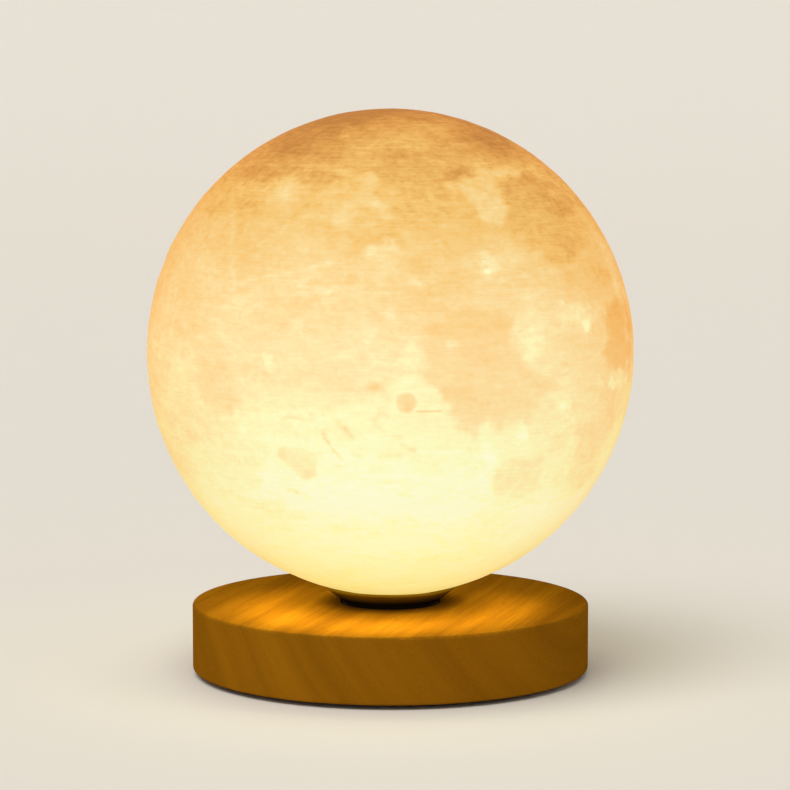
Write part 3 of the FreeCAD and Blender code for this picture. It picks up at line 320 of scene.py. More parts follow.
# ---------------------------------------------------------------- the print on the side that faces the camera
# Each mark is placed where it is seen. Places and sizes are pixels of the photo's frame; tone is
# added to the level, below 0 is darker.
# Outlines: tone, softness of the edge, corners.
OUTLINES = [
    # the bright wedge between the two upper plains
    (0.125, 3.5, [
        (458, 185), (470, 184), (478, 177), (477, 169), (500, 167), (515, 166), (522, 170), (503, 178),
        (494, 181), (500, 199), (506, 207), (508, 222), (484, 220), (476, 205), (466, 191),
    ]),
    # the large plain to the right of it, and its fading lower part
    (-0.115, 5, [
        (500, 181), (512, 178), (525, 172), (540, 178), (556, 190), (572, 208), (585, 228), (592, 250),
        (575, 262), (545, 262), (525, 250), (512, 240), (510, 222), (508, 207), (503, 195),
    ]),
    (-0.045, 11, [
        (545, 230), (590, 240), (605, 262), (612, 290), (600, 300), (575, 290), (550, 275), (520, 262),
        (515, 245),
    ]),
    # the plain in the upper middle
    (-0.05, 4, [
        (376, 178), (385, 171), (450, 170), (470, 172), (474, 178), (462, 181), (456, 187), (466, 193),
        (473, 203), (479, 216), (486, 223), (508, 224), (512, 240), (500, 250), (470, 255), (440, 262),
        (425, 280), (412, 275), (410, 258), (400, 246), (385, 242), (366, 246), (358, 258), (350, 256),
        (347, 244), (360, 234), (378, 226), (386, 215), (388, 206), (383, 199), (374, 196),
    ]),
    # the plain to the right of the middle
    (-0.085, 6, [
        (425, 330), (440, 318), (470, 308), (500, 310), (515, 320), (512, 340), (520, 355), (540, 372),
        (555, 385), (545, 400), (535, 425), (515, 422), (500, 425), (488, 420), (475, 436), (462, 432),
        (455, 418), (452, 405), (445, 400), (440, 388), (428, 384), (422, 375), (432, 370), (425, 355),
    ]),
    (-0.05, 4, [
        (440, 388), (455, 391), (470, 387), (481, 395), (478, 405), (460, 402), (445, 397),
    ]),
    # bright land round the small round crater and below the middle
    (0.07, 7, [
        (243, 412), (330, 408), (385, 400), (395, 384), (405, 372), (416, 375), (420, 385), (442, 385),
        (450, 410), (462, 430), (485, 440), (500, 460), (495, 500), (470, 520), (330, 520), (262, 500),
        (262, 470), (258, 450), (240, 432),
    ]),
    (0.07, 6, [
        (363, 173), (375, 171), (378, 180), (370, 185), (371, 195), (380, 198), (386, 207), (372, 208),
        (362, 203), (352, 212), (345, 222), (352, 226), (340, 228), (330, 222), (340, 205), (352, 195),
    ]),
    (0.045, 5, [
        (475, 430), (485, 422), (500, 430), (520, 427), (528, 425), (530, 440), (528, 450), (515, 455),
        (500, 455), (490, 463), (480, 458),
    ]),
    # the small three-cornered patch, low on the left
    (-0.105, 2, [
        (277, 450), (283, 447), (290, 449), (298, 447), (305, 449), (313, 452), (317, 460), (315, 470),
        (316, 476), (308, 479), (301, 478), (294, 472), (285, 463), (278, 457),
    ]),
    # patches low on the right
    (-0.075, 5, [
        (492, 487), (497, 473), (505, 463), (515, 457), (530, 458), (540, 455), (545, 462), (540, 475),
        (545, 482), (535, 492), (520, 498), (505, 495),
    ]),
    (-0.08, 6, [
        (577, 425), (600, 420), (612, 430), (608, 445), (600, 460), (592, 472), (580, 482), (570, 488),
        (560, 482), (575, 465), (580, 445),
    ]),
    # by the right edge, by the left edge and across the top
    (-0.19, 4, [
        (609, 300), (622, 300), (630, 320), (632, 350), (625, 368), (608, 372), (603, 355), (611, 335),
        (607, 315),
    ]),
    (-0.065, 7, [
        (200, 345), (215, 345), (225, 360), (228, 380), (238, 400), (230, 415), (215, 415), (203, 400),
        (198, 375),
    ]),
    (-0.06, 9, [
        (285, 140), (340, 128), (346, 150), (336, 162), (290, 160), (262, 158),
    ]),
    (-0.07, 9, [
        (452, 131), (485, 127), (505, 138), (508, 152), (478, 146), (455, 142),
    ]),
    (-0.065, 4, [
        (245, 166), (330, 170), (347, 179), (330, 185), (290, 183), (262, 179), (238, 180),
    ]),
]
# Ovals: x, y, half-width, half-height, turn in degrees, tone.
OVALS = [
    # bright spots and their halos
    (450, 185, 6, 4, 0, 0.09), (375, 204, 12, 5, 0, 0.11), (370, 178, 7, 7, 0, 0.09),
    (285, 193, 17, 14, 35, 0.11), (256, 190, 18, 4, 14, 0.06), (488, 271, 4, 3, 0, 0.13),
    (487, 262, 10, 15, 0, 0.07), (502, 262, 32, 20, 0, 0.05), (533, 343, 10, 20, 0, 0.1),
    (529, 330, 15, 36, 0, 0.06), (587, 325, 5, 7, 0, 0.17), (584, 322, 13, 15, 0, 0.07),
    (567, 315, 11, 9, 0, 0.08), (580, 308, 10, 5, -20, 0.06), (561, 303, 4, 4, 0, 0.09),
    (612, 384, 4, 7, 0, 0.13), (619, 380, 8, 9, 0, 0.08), (562, 405, 4, 4, 0, 0.12),
    (562, 402, 10, 11, 0, 0.06), (268, 362, 8, 9, 0, 0.1), (413, 283, 8, 5, 0, 0.07),
    (404, 233, 9, 6, 0, 0.08), (392, 194, 4, 3, 0, 0.11), (387, 217, 5, 4, 0, 0.12),
    (380, 251, 19, 6, 12, 0.08), (385, 265, 15, 8, 0, 0.05), (378, 277, 11, 7, 0, 0.05),
    (313, 248, 17, 10, 0, 0.05), (322, 263, 17, 7, 0, 0.05), (328, 290, 11, 15, 0, 0.04),
    (240, 307, 17, 12, 0, 0.04), (451, 345, 9, 4, 0, 0.07), (524, 433, 5, 12, 0, 0.05),
    (491, 460, 7, 7, 0, 0.04), (409, 358, 10, 17, 0, 0.06), (335, 188, 11, 6, 0, 0.06),
    (343, 173, 7, 4, 0, 0.07), (297, 325, 8, 8, 0, 0.05), (389, 317, 6, 4, 0, 0.06),
    (371, 331, 7, 8, 0, 0.05), (365, 342, 5, 3, 0, 0.05), (213, 286, 13, 9, 0, 0.03),
    (397, 143, 62, 12, 0, 0.05), (236, 413, 4, 3, 0, 0.06), (483, 427, 8, 5, 0, 0.03),
    (552, 271, 5, 4, 0, 0.05), (584, 252, 5, 4, 0, 0.05), (178, 365, 12, 18, 0, 0.04),
    # dark spots and streaks
    (455, 174, 19, 6, 0, -0.07), (430, 334, 14, 5, 0, -0.05), (375, 388, 8, 4, 0, -0.11),
    (361, 361, 9, 4, 0, -0.05), (408, 409, 6, 5, 0, -0.08), (282, 453, 5, 6, -30, -0.05),
    (308, 474, 8, 5, 0, -0.05), (298, 440, 5, 8, 0, -0.03), (413, 452, 6, 5, 0, -0.05),
    (443, 541, 11, 7, 0, -0.05), (490, 522, 9, 5, 0, -0.05), (417, 528, 5, 4, 0, -0.04),
    (235, 403, 7, 5, 0, -0.05), (535, 503, 13, 5, 12, -0.05), (587, 478, 15, 6, 35, -0.06),
    (600, 437, 9, 4, 0, -0.04), (609, 410, 5, 23, 0, -0.09), (192, 330, 15, 10, 0, -0.04),
    (190, 437, 13, 6, 0, -0.045), (180, 459, 7, 20, 35, -0.06), (395, 157, 18, 6, 0, -0.09),
    (440, 140, 13, 5, 0, -0.05), (243, 205, 13, 10, 0, -0.06), (222, 203, 4, 4, 0, -0.06),
    (215, 213, 10, 5, 0, -0.05), (241, 251, 11, 14, 0, -0.05), (217, 251, 15, 8, 0, -0.035),
    (272, 232, 42, 20, 0, -0.03), (351, 236, 11, 5, 0, -0.03), (265, 515, 32, 13, 0, -0.035),
    (605, 275, 5, 12, 40, -0.08), (440, 300, 36, 14, 0, -0.025), (352, 252, 8, 16, 20, -0.03),
    (450, 555, 60, 12, 0, -0.03), (340, 380, 30, 16, 0, -0.03), (300, 370, 46, 16, 0, -0.02),
    (500, 350, 26, 24, 0, -0.02), (380, 508, 22, 6, 0, -0.02), (440, 495, 14, 6, 0, -0.02),
    # wide, soft tones; the tall dark oval by the right edge is partly painted shade, the globe's light
    # falling off towards its rim
    (605, 355, 42, 120, 0, -0.06), (300, 158, 48, 24, 25, -0.02), (488, 148, 26, 14, -20, -0.04),
    (365, 240, 24, 14, 0, -0.05), (440, 275, 34, 20, 0, -0.04), (415, 300, 24, 16, 0, -0.05),
    (450, 420, 60, 26, 0, -0.03), (200, 420, 30, 40, 0, -0.04), (196, 250, 26, 60, 25, 0.05),
    (300, 285, 60, 34, 0, 0.03), (400, 148, 40, 12, 0, 0.05), (365, 345, 30, 24, 0, 0.03),
    (485, 270, 24, 20, 0, 0.03), (545, 520, 40, 24, 40, 0.08), (608, 440, 14, 30, -20, 0.06),
    (365, 545, 50, 20, 0, 0.03), (495, 138, 50, 12, -30, -0.05), (288, 142, 50, 12, 30, -0.06),
    (568, 203, 12, 14, 0, -0.07), (490, 175, 20, 10, 0, 0.05), (505, 243, 34, 10, 0, 0.05),
    (560, 275, 44, 12, 0, -0.05), (420, 133, 34, 12, 0, 0.06), (395, 178, 20, 10, 0, 0.03),
    (500, 560, 60, 22, 35, 0.06), (352, 117, 44, 9, 10, -0.11), (440, 125, 28, 9, 0, 0.06),
    (285, 193, 11, 9, 30, 0.05),
]
# Strokes: half-width, tone, points.
STROKES = [
    # short dark scratches round the crater and below it
    (2.4, -0.11, [(322, 432), (328, 441)]), (1.6, -0.06, [(328, 441), (333, 450)]),
    (2.0, -0.1, [(333, 450), (341, 459)]), (2.8, -0.08, [(337, 423), (345, 430)]),
    (3.2, -0.09, [(345, 430), (352, 438)]), (2.2, -0.09, [(282, 419), (286, 418)]),
    (1.5, -0.07, [(287, 418), (304, 420), (312, 420)]), (1.8, -0.06, [(310, 414), (314, 418)]),
    (2.4, -0.07, [(314, 454), (320, 453)]), (2.4, -0.07, [(352, 455), (360, 457)]),
    (2.6, -0.06, [(337, 466), (341, 467)]), (2.8, -0.09, [(288, 490), (296, 492)]),
    (2.2, -0.06, [(296, 492), (306, 497)]),
    (3.0, -0.06, [(385, 432), (375, 426), (375, 418), (381, 412), (388, 417)]),
    (2.4, -0.08, [(393, 436), (401, 438)]), (2.6, -0.06, [(403, 446), (414, 451)]),
    (3.0, -0.07, [(378, 457), (400, 456)]), (2.4, -0.07, [(400, 494), (414, 496)]),
    (2.4, -0.05, [(441, 513), (446, 514)]), (2.4, -0.04, [(388, 483), (402, 481)]),
    # rays, and lines that follow the right edge
    (3.5, 0.045, [(231, 200), (233, 226), (231, 252), (234, 279)]),
    (3.0, 0.05, [(235, 284), (262, 277), (300, 270), (330, 263)]),
    (2.6, 0.04, [(268, 294), (310, 294), (330, 291)]),
    (3.0, 0.04, [(530, 168), (552, 190), (574, 207), (596, 234)]),
    (3.2, 0.07, [(596, 234), (609, 256), (618, 290)]), (5.0, -0.05, [(552, 178), (578, 200), (600, 232)]),
    (3.0, 0.045, [(200, 480), (215, 500), (228, 515)]),
    (4.0, 0.04, [(362, 262), (372, 250), (384, 245), (398, 249)]),
    (3.4, 0.05, [(300, 217), (318, 214), (338, 220)]), (2.4, 0.03, [(548, 178), (570, 196)]),
    (4.5, 0.06, [(545, 535), (578, 503), (604, 464), (620, 425), (629, 385)]),
]
# The round crater: x, y, radius, tone. The thin scar in the print beside it: its ends, half-width, tone.
CRATER = (406.7, 402.8, 10.6, -0.17)
SCAR = ((415.5, 411.5), (441.0, 411.3), 0.9, -0.20)
CRATER_EDGE = (-1.6, 1.8)
# The tones of outlines, and of the smaller ovals and the strokes, count this many times.
OUTLINE_GAIN = 1.15
MARK_GAIN = 1.35
# Outlines and ovals below these sizes are crisp; ovals below SMALL_OVAL are marks, the others wide shading.
CRISP_SOFTNESS = 2.5
CRISP_OVAL = 9
SMALL_OVAL = 20
# The edges of bright marks of these sizes are ragged.
RAGGED_OVALS = range(6, SMALL_OVAL)
RAGGEDNESS = 0.30
RAGGED_EDGE = (0.25, 0.62)
SOFT_SHARE = 0.45
RAGGED_SHARE = 0.50
# Beyond this many half-widths an oval or a stroke adds nothing that shows.
OVAL_REACH = 2.2
STROKE_REACH = 3
# How far the coarse and the fine noise bend soft marks, and the fine one crisp marks, in globe radii.
SOFT_BEND = (0.016, 0.014)
CRISP_BEND = 0.0035
# The marks fade in over this range of facing the camera, and those behind over this range of facing away.
FRONT_FADE = (0.0, 0.16)
BACK_FADE = (-0.12, 0.10)
# A place darker than the land by this much is all plain.
PLAIN_TONE = 0.13

# The side turned away has plains and bright spots from seeded draws; sizes are in globe radii.
BACK_SEED = 71
BACK_PLAINS = 15
BACK_SPOTS = 80
BACK_BEND = (0.060, 0.022)
BACK_PLAIN_TONE = 0.12
PLAIN_EDGE = (-0.08, 0.16)
HALO = 2.6

# The print's own unevenness: broad and fine noise, drawn out sideways by the layers.
BROAD_NOISE = 0.040
FINE_NOISE = 0.036
DRAWN_OUT = np.array([1.0, 1.0, 2.6])
LESS_DRAWN_OUT = np.array([1.0, 1.0, 1.8])

# The relief: how much lower the plains lie, how rough plains are and how much rougher land is, and the limits
# of its height over the plain globe.
CRATER_SEED = 23
CRATERS = 420
PLAIN_DEPTH = 0.14 * MM
PLAIN_ROUGH = 0.05
LAND_ROUGH = 0.07
BOWL = 0.75
RIM = 0.40
RIM_WIDTH = 0.22
CRATER_REACH = 2.2
RELIEF_LIMITS = (-0.6 * MM, 0.25 * MM)
RELIEF_DROP = 0.05 * MM
# Underneath, the relief fades out between these distances from the axis, so that the globe sits on its cup.
SEAT_EDGE = (21.5 * MM, 26.0 * MM)


def scattered(count, seed, away_from_front=True):
    """Directions spread over the globe, or over the side turned away, with 4 draws for each."""
    draw = np.random.default_rng(seed)
    found = []
    while len(found) < count:
        v = draw.normal(size=3)
        v /= np.linalg.norm(v)
        if not away_from_front or v[1] > -0.05:
            found.append((v, draw.random(4)))
    return found


def near_to(points, line, reach):
    """Which points lie within reach of the box round a line of places."""
    low, high = np.min(line, axis=0) - reach, np.max(line, axis=0) + reach
    return np.nonzero(np.all((points > low) & (points < high), axis=1))[0]


def marks_of_the_front(p, warp, fine_warp):
    """What the listed marks add to the level, and how much of it is dark plain."""
    facing = ease(p @ TO_NEAR, *FRONT_FADE)
    front = np.nonzero(facing > 0)[0]
    soft = to_pixels(p[front] + SOFT_BEND[0] * warp[front] + SOFT_BEND[1] * fine_warp[front])
    crisp = to_pixels(p[front] + CRISP_BEND * fine_warp[front])
    added = np.zeros(len(front))
    for tone, softness, corners in OUTLINES:
        points = crisp if softness < CRISP_SOFTNESS else soft
        near = near_to(points, corners, 2 * softness)
        added[near] += OUTLINE_GAIN * tone * ease(outline_depth(points[near], corners), -softness, softness)
    plain = np.clip(-added / PLAIN_TONE, 0, 1)
    speckle = cloud(p[front] * LESS_DRAWN_OUT, 42.0, 3, 171)
    for x, y, wide, tall, turn, tone in OVALS:
        size = max(wide, tall)
        points = crisp if size < CRISP_OVAL else soft
        near = near_to(points, [(x, y)], OVAL_REACH * size)
        mask = oval_mask(points[near], x, y, wide, tall, turn)
        if tone > 0 and size in RAGGED_OVALS:
            ragged = ease(mask + RAGGEDNESS * speckle[near], *RAGGED_EDGE)
            mask = SOFT_SHARE * mask + RAGGED_SHARE * ragged
        gain = MARK_GAIN if size < SMALL_OVAL else 1.0
        added[near] += gain * tone * mask
    for half_width, tone, line in STROKES:
        near = near_to(crisp, line, STROKE_REACH * half_width)
        distance = np.min([to_segment(crisp[near], a, b) for a, b in zip(line, line[1:])], axis=0)
        added[near] += MARK_GAIN * tone * np.exp(-((distance / half_width) ** 2))
    x, y, radius, tone = CRATER
    distance = np.hypot(crisp[:, 0] - x, crisp[:, 1] - y)
    added += tone * ease(radius - distance, *CRATER_EDGE)
    level, dark = np.zeros(len(p)), np.zeros(len(p))
    level[front], dark[front] = added * facing[front], plain * facing[front]
    return level, dark


def print_level(p):
    """The lit print's brightness at each direction, from its wall's thickness, and how much is plain."""
    warp, fine_warp = cloud_vector(p, 7.0, 11), cloud_vector(p, 24.0, 41)
    level, plain = marks_of_the_front(p, warp, fine_warp)

    q = p + BACK_BEND[0] * warp + BACK_BEND[1] * fine_warp
    q /= np.linalg.norm(q, axis=1, keepdims=True)
    behind = ease(-(p @ TO_NEAR), *BACK_FADE)
    depth = np.zeros(len(p))
    for v, extra in scattered(BACK_PLAINS, BACK_SEED):
        across, tall = 0.16 + 0.30 * extra[0], 0.12 + 0.22 * extra[1]
        shape = ease(blot(q, v, across, tall, 180 * extra[3]), *PLAIN_EDGE)
        depth = np.maximum(depth, (0.4 + 0.6 * extra[2]) * shape)
    level -= BACK_PLAIN_TONE * depth * behind
    for v, extra in scattered(BACK_SPOTS, BACK_SEED + 1):
        size = 0.009 + 0.030 * extra[0] ** 3
        away = np.linalg.norm(p + 0.006 * fine_warp - v, axis=1) / size
        level += (0.04 + 0.16 * extra[1] ** 2) * np.exp(-(away**2)) * behind
        level += 0.04 * extra[2] * np.exp(-((away / HALO) ** 2)) * behind
    plain = np.maximum(plain, depth * behind)

    # The fine noise is strongest above the middle and weak at the very top and in the plains.
    up = p[:, 2]
    rough = 0.80 + 0.15 * ease(up, -0.5, 0.4) + 0.30 * ease(up, 0.1, 0.5) - 0.50 * ease(up, 0.70, 0.92)
    rough *= 1 - 0.35 * plain
    flat = p * DRAWN_OUT
    level += BROAD_NOISE * cloud(flat, 5.5, 4, 91, 0.58) + rough * FINE_NOISE * cloud(flat, 17.0, 3, 131)
    level += rough * FINE_NOISE * cloud(p * LESS_DRAWN_OUT, 46.0, 3, 151, 0.65)
    return level, plain


def relief(p, plain):
    """The surface's height in metres, and what its craters add to the level."""
    height = -PLAIN_DEPTH * plain
    height += (PLAIN_ROUGH + LAND_ROUGH * (1 - plain)) * MM * cloud(p, 9.0, 5, 201, 0.55)
    spots = [(v, 0.014 + 0.065 * extra[0] ** 3, extra[1])
             for v, extra in scattered(CRATERS, CRATER_SEED, away_from_front=False)]
    crater_x, crater_y, crater_r, _ = CRATER
    middle, edge = seen(crater_x, crater_y), seen(crater_x + crater_r, crater_y)
    spots.append((middle, np.linalg.norm(edge - middle), 1.0))
    shade = np.zeros(len(p))
    for centre, radius, depth in spots:
        near = np.nonzero(p @ centre > math.cos(CRATER_REACH * radius))[0]
        t = np.arccos(np.clip(p[near] @ centre, -1, 1)) / radius
        bowl = np.where(t < 1, t * t - 1, 0.0)
        rim = np.exp(-(((t - 1.0) / RIM_WIDTH) ** 2))
        size = MM * (0.06 + 2.6 * radius) * (0.5 + 0.5 * depth)
        height[near] += size * (BOWL * bowl + RIM * rim)
        shade[near] += (0.3 + 0.7 * depth) * (0.030 * rim - 0.024 * np.where(t < 0.9, 1 - t * t, 0.0))
    return height, shade


# Brightness of the print by height in the camera's picture, from -1 at the globe's foot to 1 at its top.
LIT_HEIGHTS = [-1.0, -0.77, -0.55, -0.30, 0.0, 0.30, 0.60, 0.85, 1.0]
LIT_LEVELS = [0.95, 0.96, 0.895, 0.795, 0.71, 0.555, 0.40, 0.18, 0.02]


def lit_from_inside(p):
    """How bright the lamp's own light makes the print: strongest low down, near the light head."""
    return np.interp(p @ TO_TOP, LIT_HEIGHTS, LIT_LEVELS)


# The shell's mesh: rows outside and inside. Columns stand closer together on the side that faces the camera.
ROWS = 520
INNER_ROWS = 40
COLUMNS = 960
CROWDING = 0.35


def sphere_rows(start, end, rows):
    """Directions of the rows of a sphere between two angles from the top."""
    angles = np.linspace(start, end, rows)
    even = np.arange(COLUMNS) * 2 * math.pi / COLUMNS
    turns = even - math.pi / 2 - CROWDING * np.sin(even)
    grid = np.stack([np.outer(np.sin(angles), np.cos(turns)), np.outer(np.sin(angles), np.sin(turns)),
                     np.repeat(np.cos(angles)[:, None], COLUMNS, axis=1)], axis=2)
    return grid.reshape(-1, 3)


def make_globe():
    """The printed shell: relief outside, smooth inside, open underneath, as one closed mesh."""
    outer_end = math.pi - math.asin(OPENING_R / GLOBE_R)
    inner_r = GLOBE_R - GLOBE_WALL
    inner_end = math.pi - math.asin(OPENING_R / inner_r)
    step = outer_end / ROWS
    outer = sphere_rows(step, outer_end, ROWS)
    inner = sphere_rows(inner_end, inner_end / INNER_ROWS, INNER_ROWS)

    level, plain = print_level(outer)
    height, shade = relief(outer, plain)
    away = np.hypot(outer[:, 0], outer[:, 1]) * GLOBE_R
    height = np.clip(height, *RELIEF_LIMITS) - RELIEF_DROP
    height *= np.where(outer[:, 2] < 0, ease(away, *SEAT_EDGE), 1.0)
    level = level + shade + lit_from_inside(outer)

    top = np.array([[0.0, 0.0, 1.0]])
    points = np.concatenate([
        outer * (GLOBE_R + height)[:, None],
        inner * inner_r,
        top * (GLOBE_R + height[:COLUMNS].mean()),
        top * inner_r,
    ]) + GLOBE_C
    # The highest rims are cut where they would stand out of the plain globe's own box.
    points = np.clip(points, GLOBE_LOW, GLOBE_HIGH)
    levels = np.concatenate([level, lit_from_inside(inner), [level[:COLUMNS].mean()], lit_from_inside(top)])

    faces = []
    column = np.arange(COLUMNS)
    after = (column + 1) % COLUMNS
    for row in range(ROWS + INNER_ROWS - 1):
        a, b = row * COLUMNS, (row + 1) * COLUMNS
        faces.append(np.stack([a + column, b + column, b + after, a + after], axis=1))
    quads = np.concatenate(faces)
    outer_top, inner_top = len(points) - 2, len(points) - 1
    last = (ROWS + INNER_ROWS - 1) * COLUMNS
    caps = [(outer_top, i, (i + 1) % COLUMNS) for i in range(COLUMNS)]
    caps += [(inner_top, last + (i + 1) % COLUMNS, last + i) for i in range(COLUMNS)]

    mesh = bpy.data.meshes.new("globe_relief")
    mesh.from_pydata(points.tolist(), [], quads.tolist() + caps)
    mesh.attributes.new("print_level", "FLOAT", "POINT").data.foreach_set("value", levels.astype(np.float32))
    mesh.polygons.foreach_set("use_smooth", np.ones(len(mesh.polygons), dtype=bool))
    mesh.update()
    obj = bpy.data.objects.new("globe_relief", mesh)
    bpy.context.collection.objects.link(obj)
    obj.data.materials.append(globe_material())
    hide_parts("moon_globe")
    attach(obj, "globe")


# ---------------------------------------------------------------- materials
# The printed globe: height of a layer, strength of its own light, and the share of light that it reflects.
LAYER = 0.6 * MM
GLOW = 0.945
REFLECT = 0.20
# Light that leaves the shell at a slant has passed through more of it, so the rim is dimmer and redder.
SHELL_TINT = (0.98, 0.905, 0.81)
SHELL_INDEX = 1.03
# The shell's own light makes up this share of a display colour; the light that it reflects adds the rest.
OWN_SHARE = 0.90
# Low down the light comes straight from the lamp and is stronger and yellower; high up it is less red.
LOW_LIGHT = (1.075, 1.075, 0.70)
HIGH_LIGHT = (0.945, 1.0, 1.0)
# How much streaks, blotches, grain and layers change the level.
STREAKS = 0.034
BLOTCHES = 0.032
GRAIN = 0.020
LAYERS = 0.006
# Display colours of the lit print, by level.
PRINT_COLOURS = [
    (0.0, (196, 134, 65)), (0.17, (225, 162, 84)), (0.36, (247, 195, 112)), (0.58, (252, 215, 148)),
    (0.71, (254, 230, 171)), (0.81, (254, 244, 184)), (0.9, (254, 253, 196)), (1.0, (255, 255, 216)),
]


def through_shell(red, green, blue):
    """A display colour as the light has to be under the shell, to be seen so from straight in front."""
    return tuple(OWN_SHARE * c / t for c, t in zip(rgb(red, green, blue), SHELL_TINT))


def scar_mask(n):
    """1 on the thin scar of the print, a straight mark between two places on the globe."""
    start, end = (GLOBE_C + GLOBE_R * seen(*place) for place in SCAR[:2])
    length = np.linalg.norm(end - start)
    pixel = length / (SCAR[1][0] - SCAR[0][0])
    along = (end - start) / length
    across = np.cross(along, (start + end) / 2 - GLOBE_C)
    across /= np.linalg.norm(across)
    away = n.add("VectorMath", {0: n.here, 1: tuple((start + end) / 2)}, operation="SUBTRACT").outputs[0]

    def distance(direction):
        product = n.add("VectorMath", {0: away, 1: tuple(direction)}, operation="DOT_PRODUCT")
        return n.math("ABSOLUTE", product.outputs["Value"])

    half = SCAR[2] * pixel
    mask = n.math("MULTIPLY", n.spread(distance(along), length / 2 + 2 * pixel, length / 2 - 2 * pixel),
                  n.spread(distance(across), 1.7 * half, 0.5 * half))
    # The mask runs right through the globe; only the near side has the scar.
    in_front = n.math("LESS_THAN", n.parts(n.here)["Y"], 0.0)
    return n.math("MULTIPLY", mask, in_front)


def globe_material():
    """Printed translucent plastic lit from inside: thickness tones, layer lines, fine horizontal streaks."""
    n = Nodes("printed_globe")
    level = n.add("Attribute", attribute_name="print_level").outputs["Fac"]
    streaks = n.noise(1.0, 3.0, 0.6, source=n.stretched((110, 110, 1500)))
    blotches = n.noise(420.0, 4.0, 0.6)
    grain = n.noise(1.0, 2.0, 0.6, source=n.stretched((600, 600, 2400)))
    height = n.parts(n.here)["Z"]
    layer = n.math("SINE", n.math("MULTIPLY", height, 2 * math.pi / LAYER))
    texture = n.math("MULTIPLY", n.swing(streaks), STREAKS)
    texture = n.math("MULTIPLY_ADD", n.swing(blotches), BLOTCHES, texture)
    texture = n.math("MULTIPLY_ADD", n.swing(grain), GRAIN, texture)

    def by_height(start, end, to_start=0.0, to_end=1.0):
        """A value that changes between two heights, in globe radii above the globe's middle."""
        middle = float(GLOBE_C[2])
        return n.spread(height, middle + start * GLOBE_R, middle + end * GLOBE_R, to_start, to_end)

    # The texture shows least half-way up; above that, more where the lamp inside is farther away.
    share = n.math("ADD", by_height(-0.20, -0.70, 0.80, 1.20), by_height(0.15, 0.60, 0.0, 0.80))
    level = n.math("MULTIPLY_ADD", texture, share, level)
    level = n.math("MULTIPLY_ADD", layer, LAYERS, level)
    level = n.math("MULTIPLY_ADD", scar_mask(n), SCAR[3], level)
    tone = n.ramp(level, [(place, through_shell(*shown)) for place, shown in PRINT_COLOURS])
    for amount, light in ((by_height(-0.50, -1.00), LOW_LIGHT), (by_height(0.20, 0.60), HIGH_LIGHT)):
        tone = n.mix(1.0, tone, n.mix(amount, (1, 1, 1, 1), (*light, 1)), "MULTIPLY")
    n.set(Base_Color=n.mix(1.0, tone, (REFLECT, REFLECT, REFLECT, 1), "MULTIPLY"))
    n.set(Emission_Color=tone, Emission_Strength=GLOW)
    n.set(Roughness=n.varied(grain, 0.46, 0.60), Specular_IOR_Level=0.1)
    n.set(Coat_Weight=1.0, Coat_Roughness=0.5, Coat_IOR=SHELL_INDEX, Coat_Tint=(*SHELL_TINT, 1))
    ridge = n.math("MULTIPLY_ADD", n.swing(streaks), 0.35, layer)
    n.set(Normal=n.bump(ridge, 0.35, 0.06 * MM))
    return n.material


# The wood: direction of its grain, width of a band, and the shift of the bands across the grain.
GRAIN_TURN = math.radians(75)
BAND = 5.0 * MM
CUT_FROM = 31.0 * MM
# Display colours of the oiled wood, by tone.
WOOD_COLOURS = [(0.0, (76, 44, 5)), (0.25, (110, 68, 8)), (0.5, (148, 94, 12)), (0.75, (182, 120, 18)),
                (1.0, (210, 144, 30))]
WOOD_TONE = 0.56
# Painted shadow: the wood is darkest in the narrow ring round the turntable's cup, where the cup casts its
# shadow.
SHADOW_RING_INNER = 15.5 * MM
SHADOW_RING_OUTER = 25.0 * MM
# Painted shade: the cup is black up to the first of these heights over its foot, and clear of it from the
# second.
SHADOW_FULL_TO = 1.2 * MM
SHADOW_GONE_FROM = 4.6 * MM
FOOT_SHADOW_COLOUR = (0.004, 0.003, 0.002, 1)


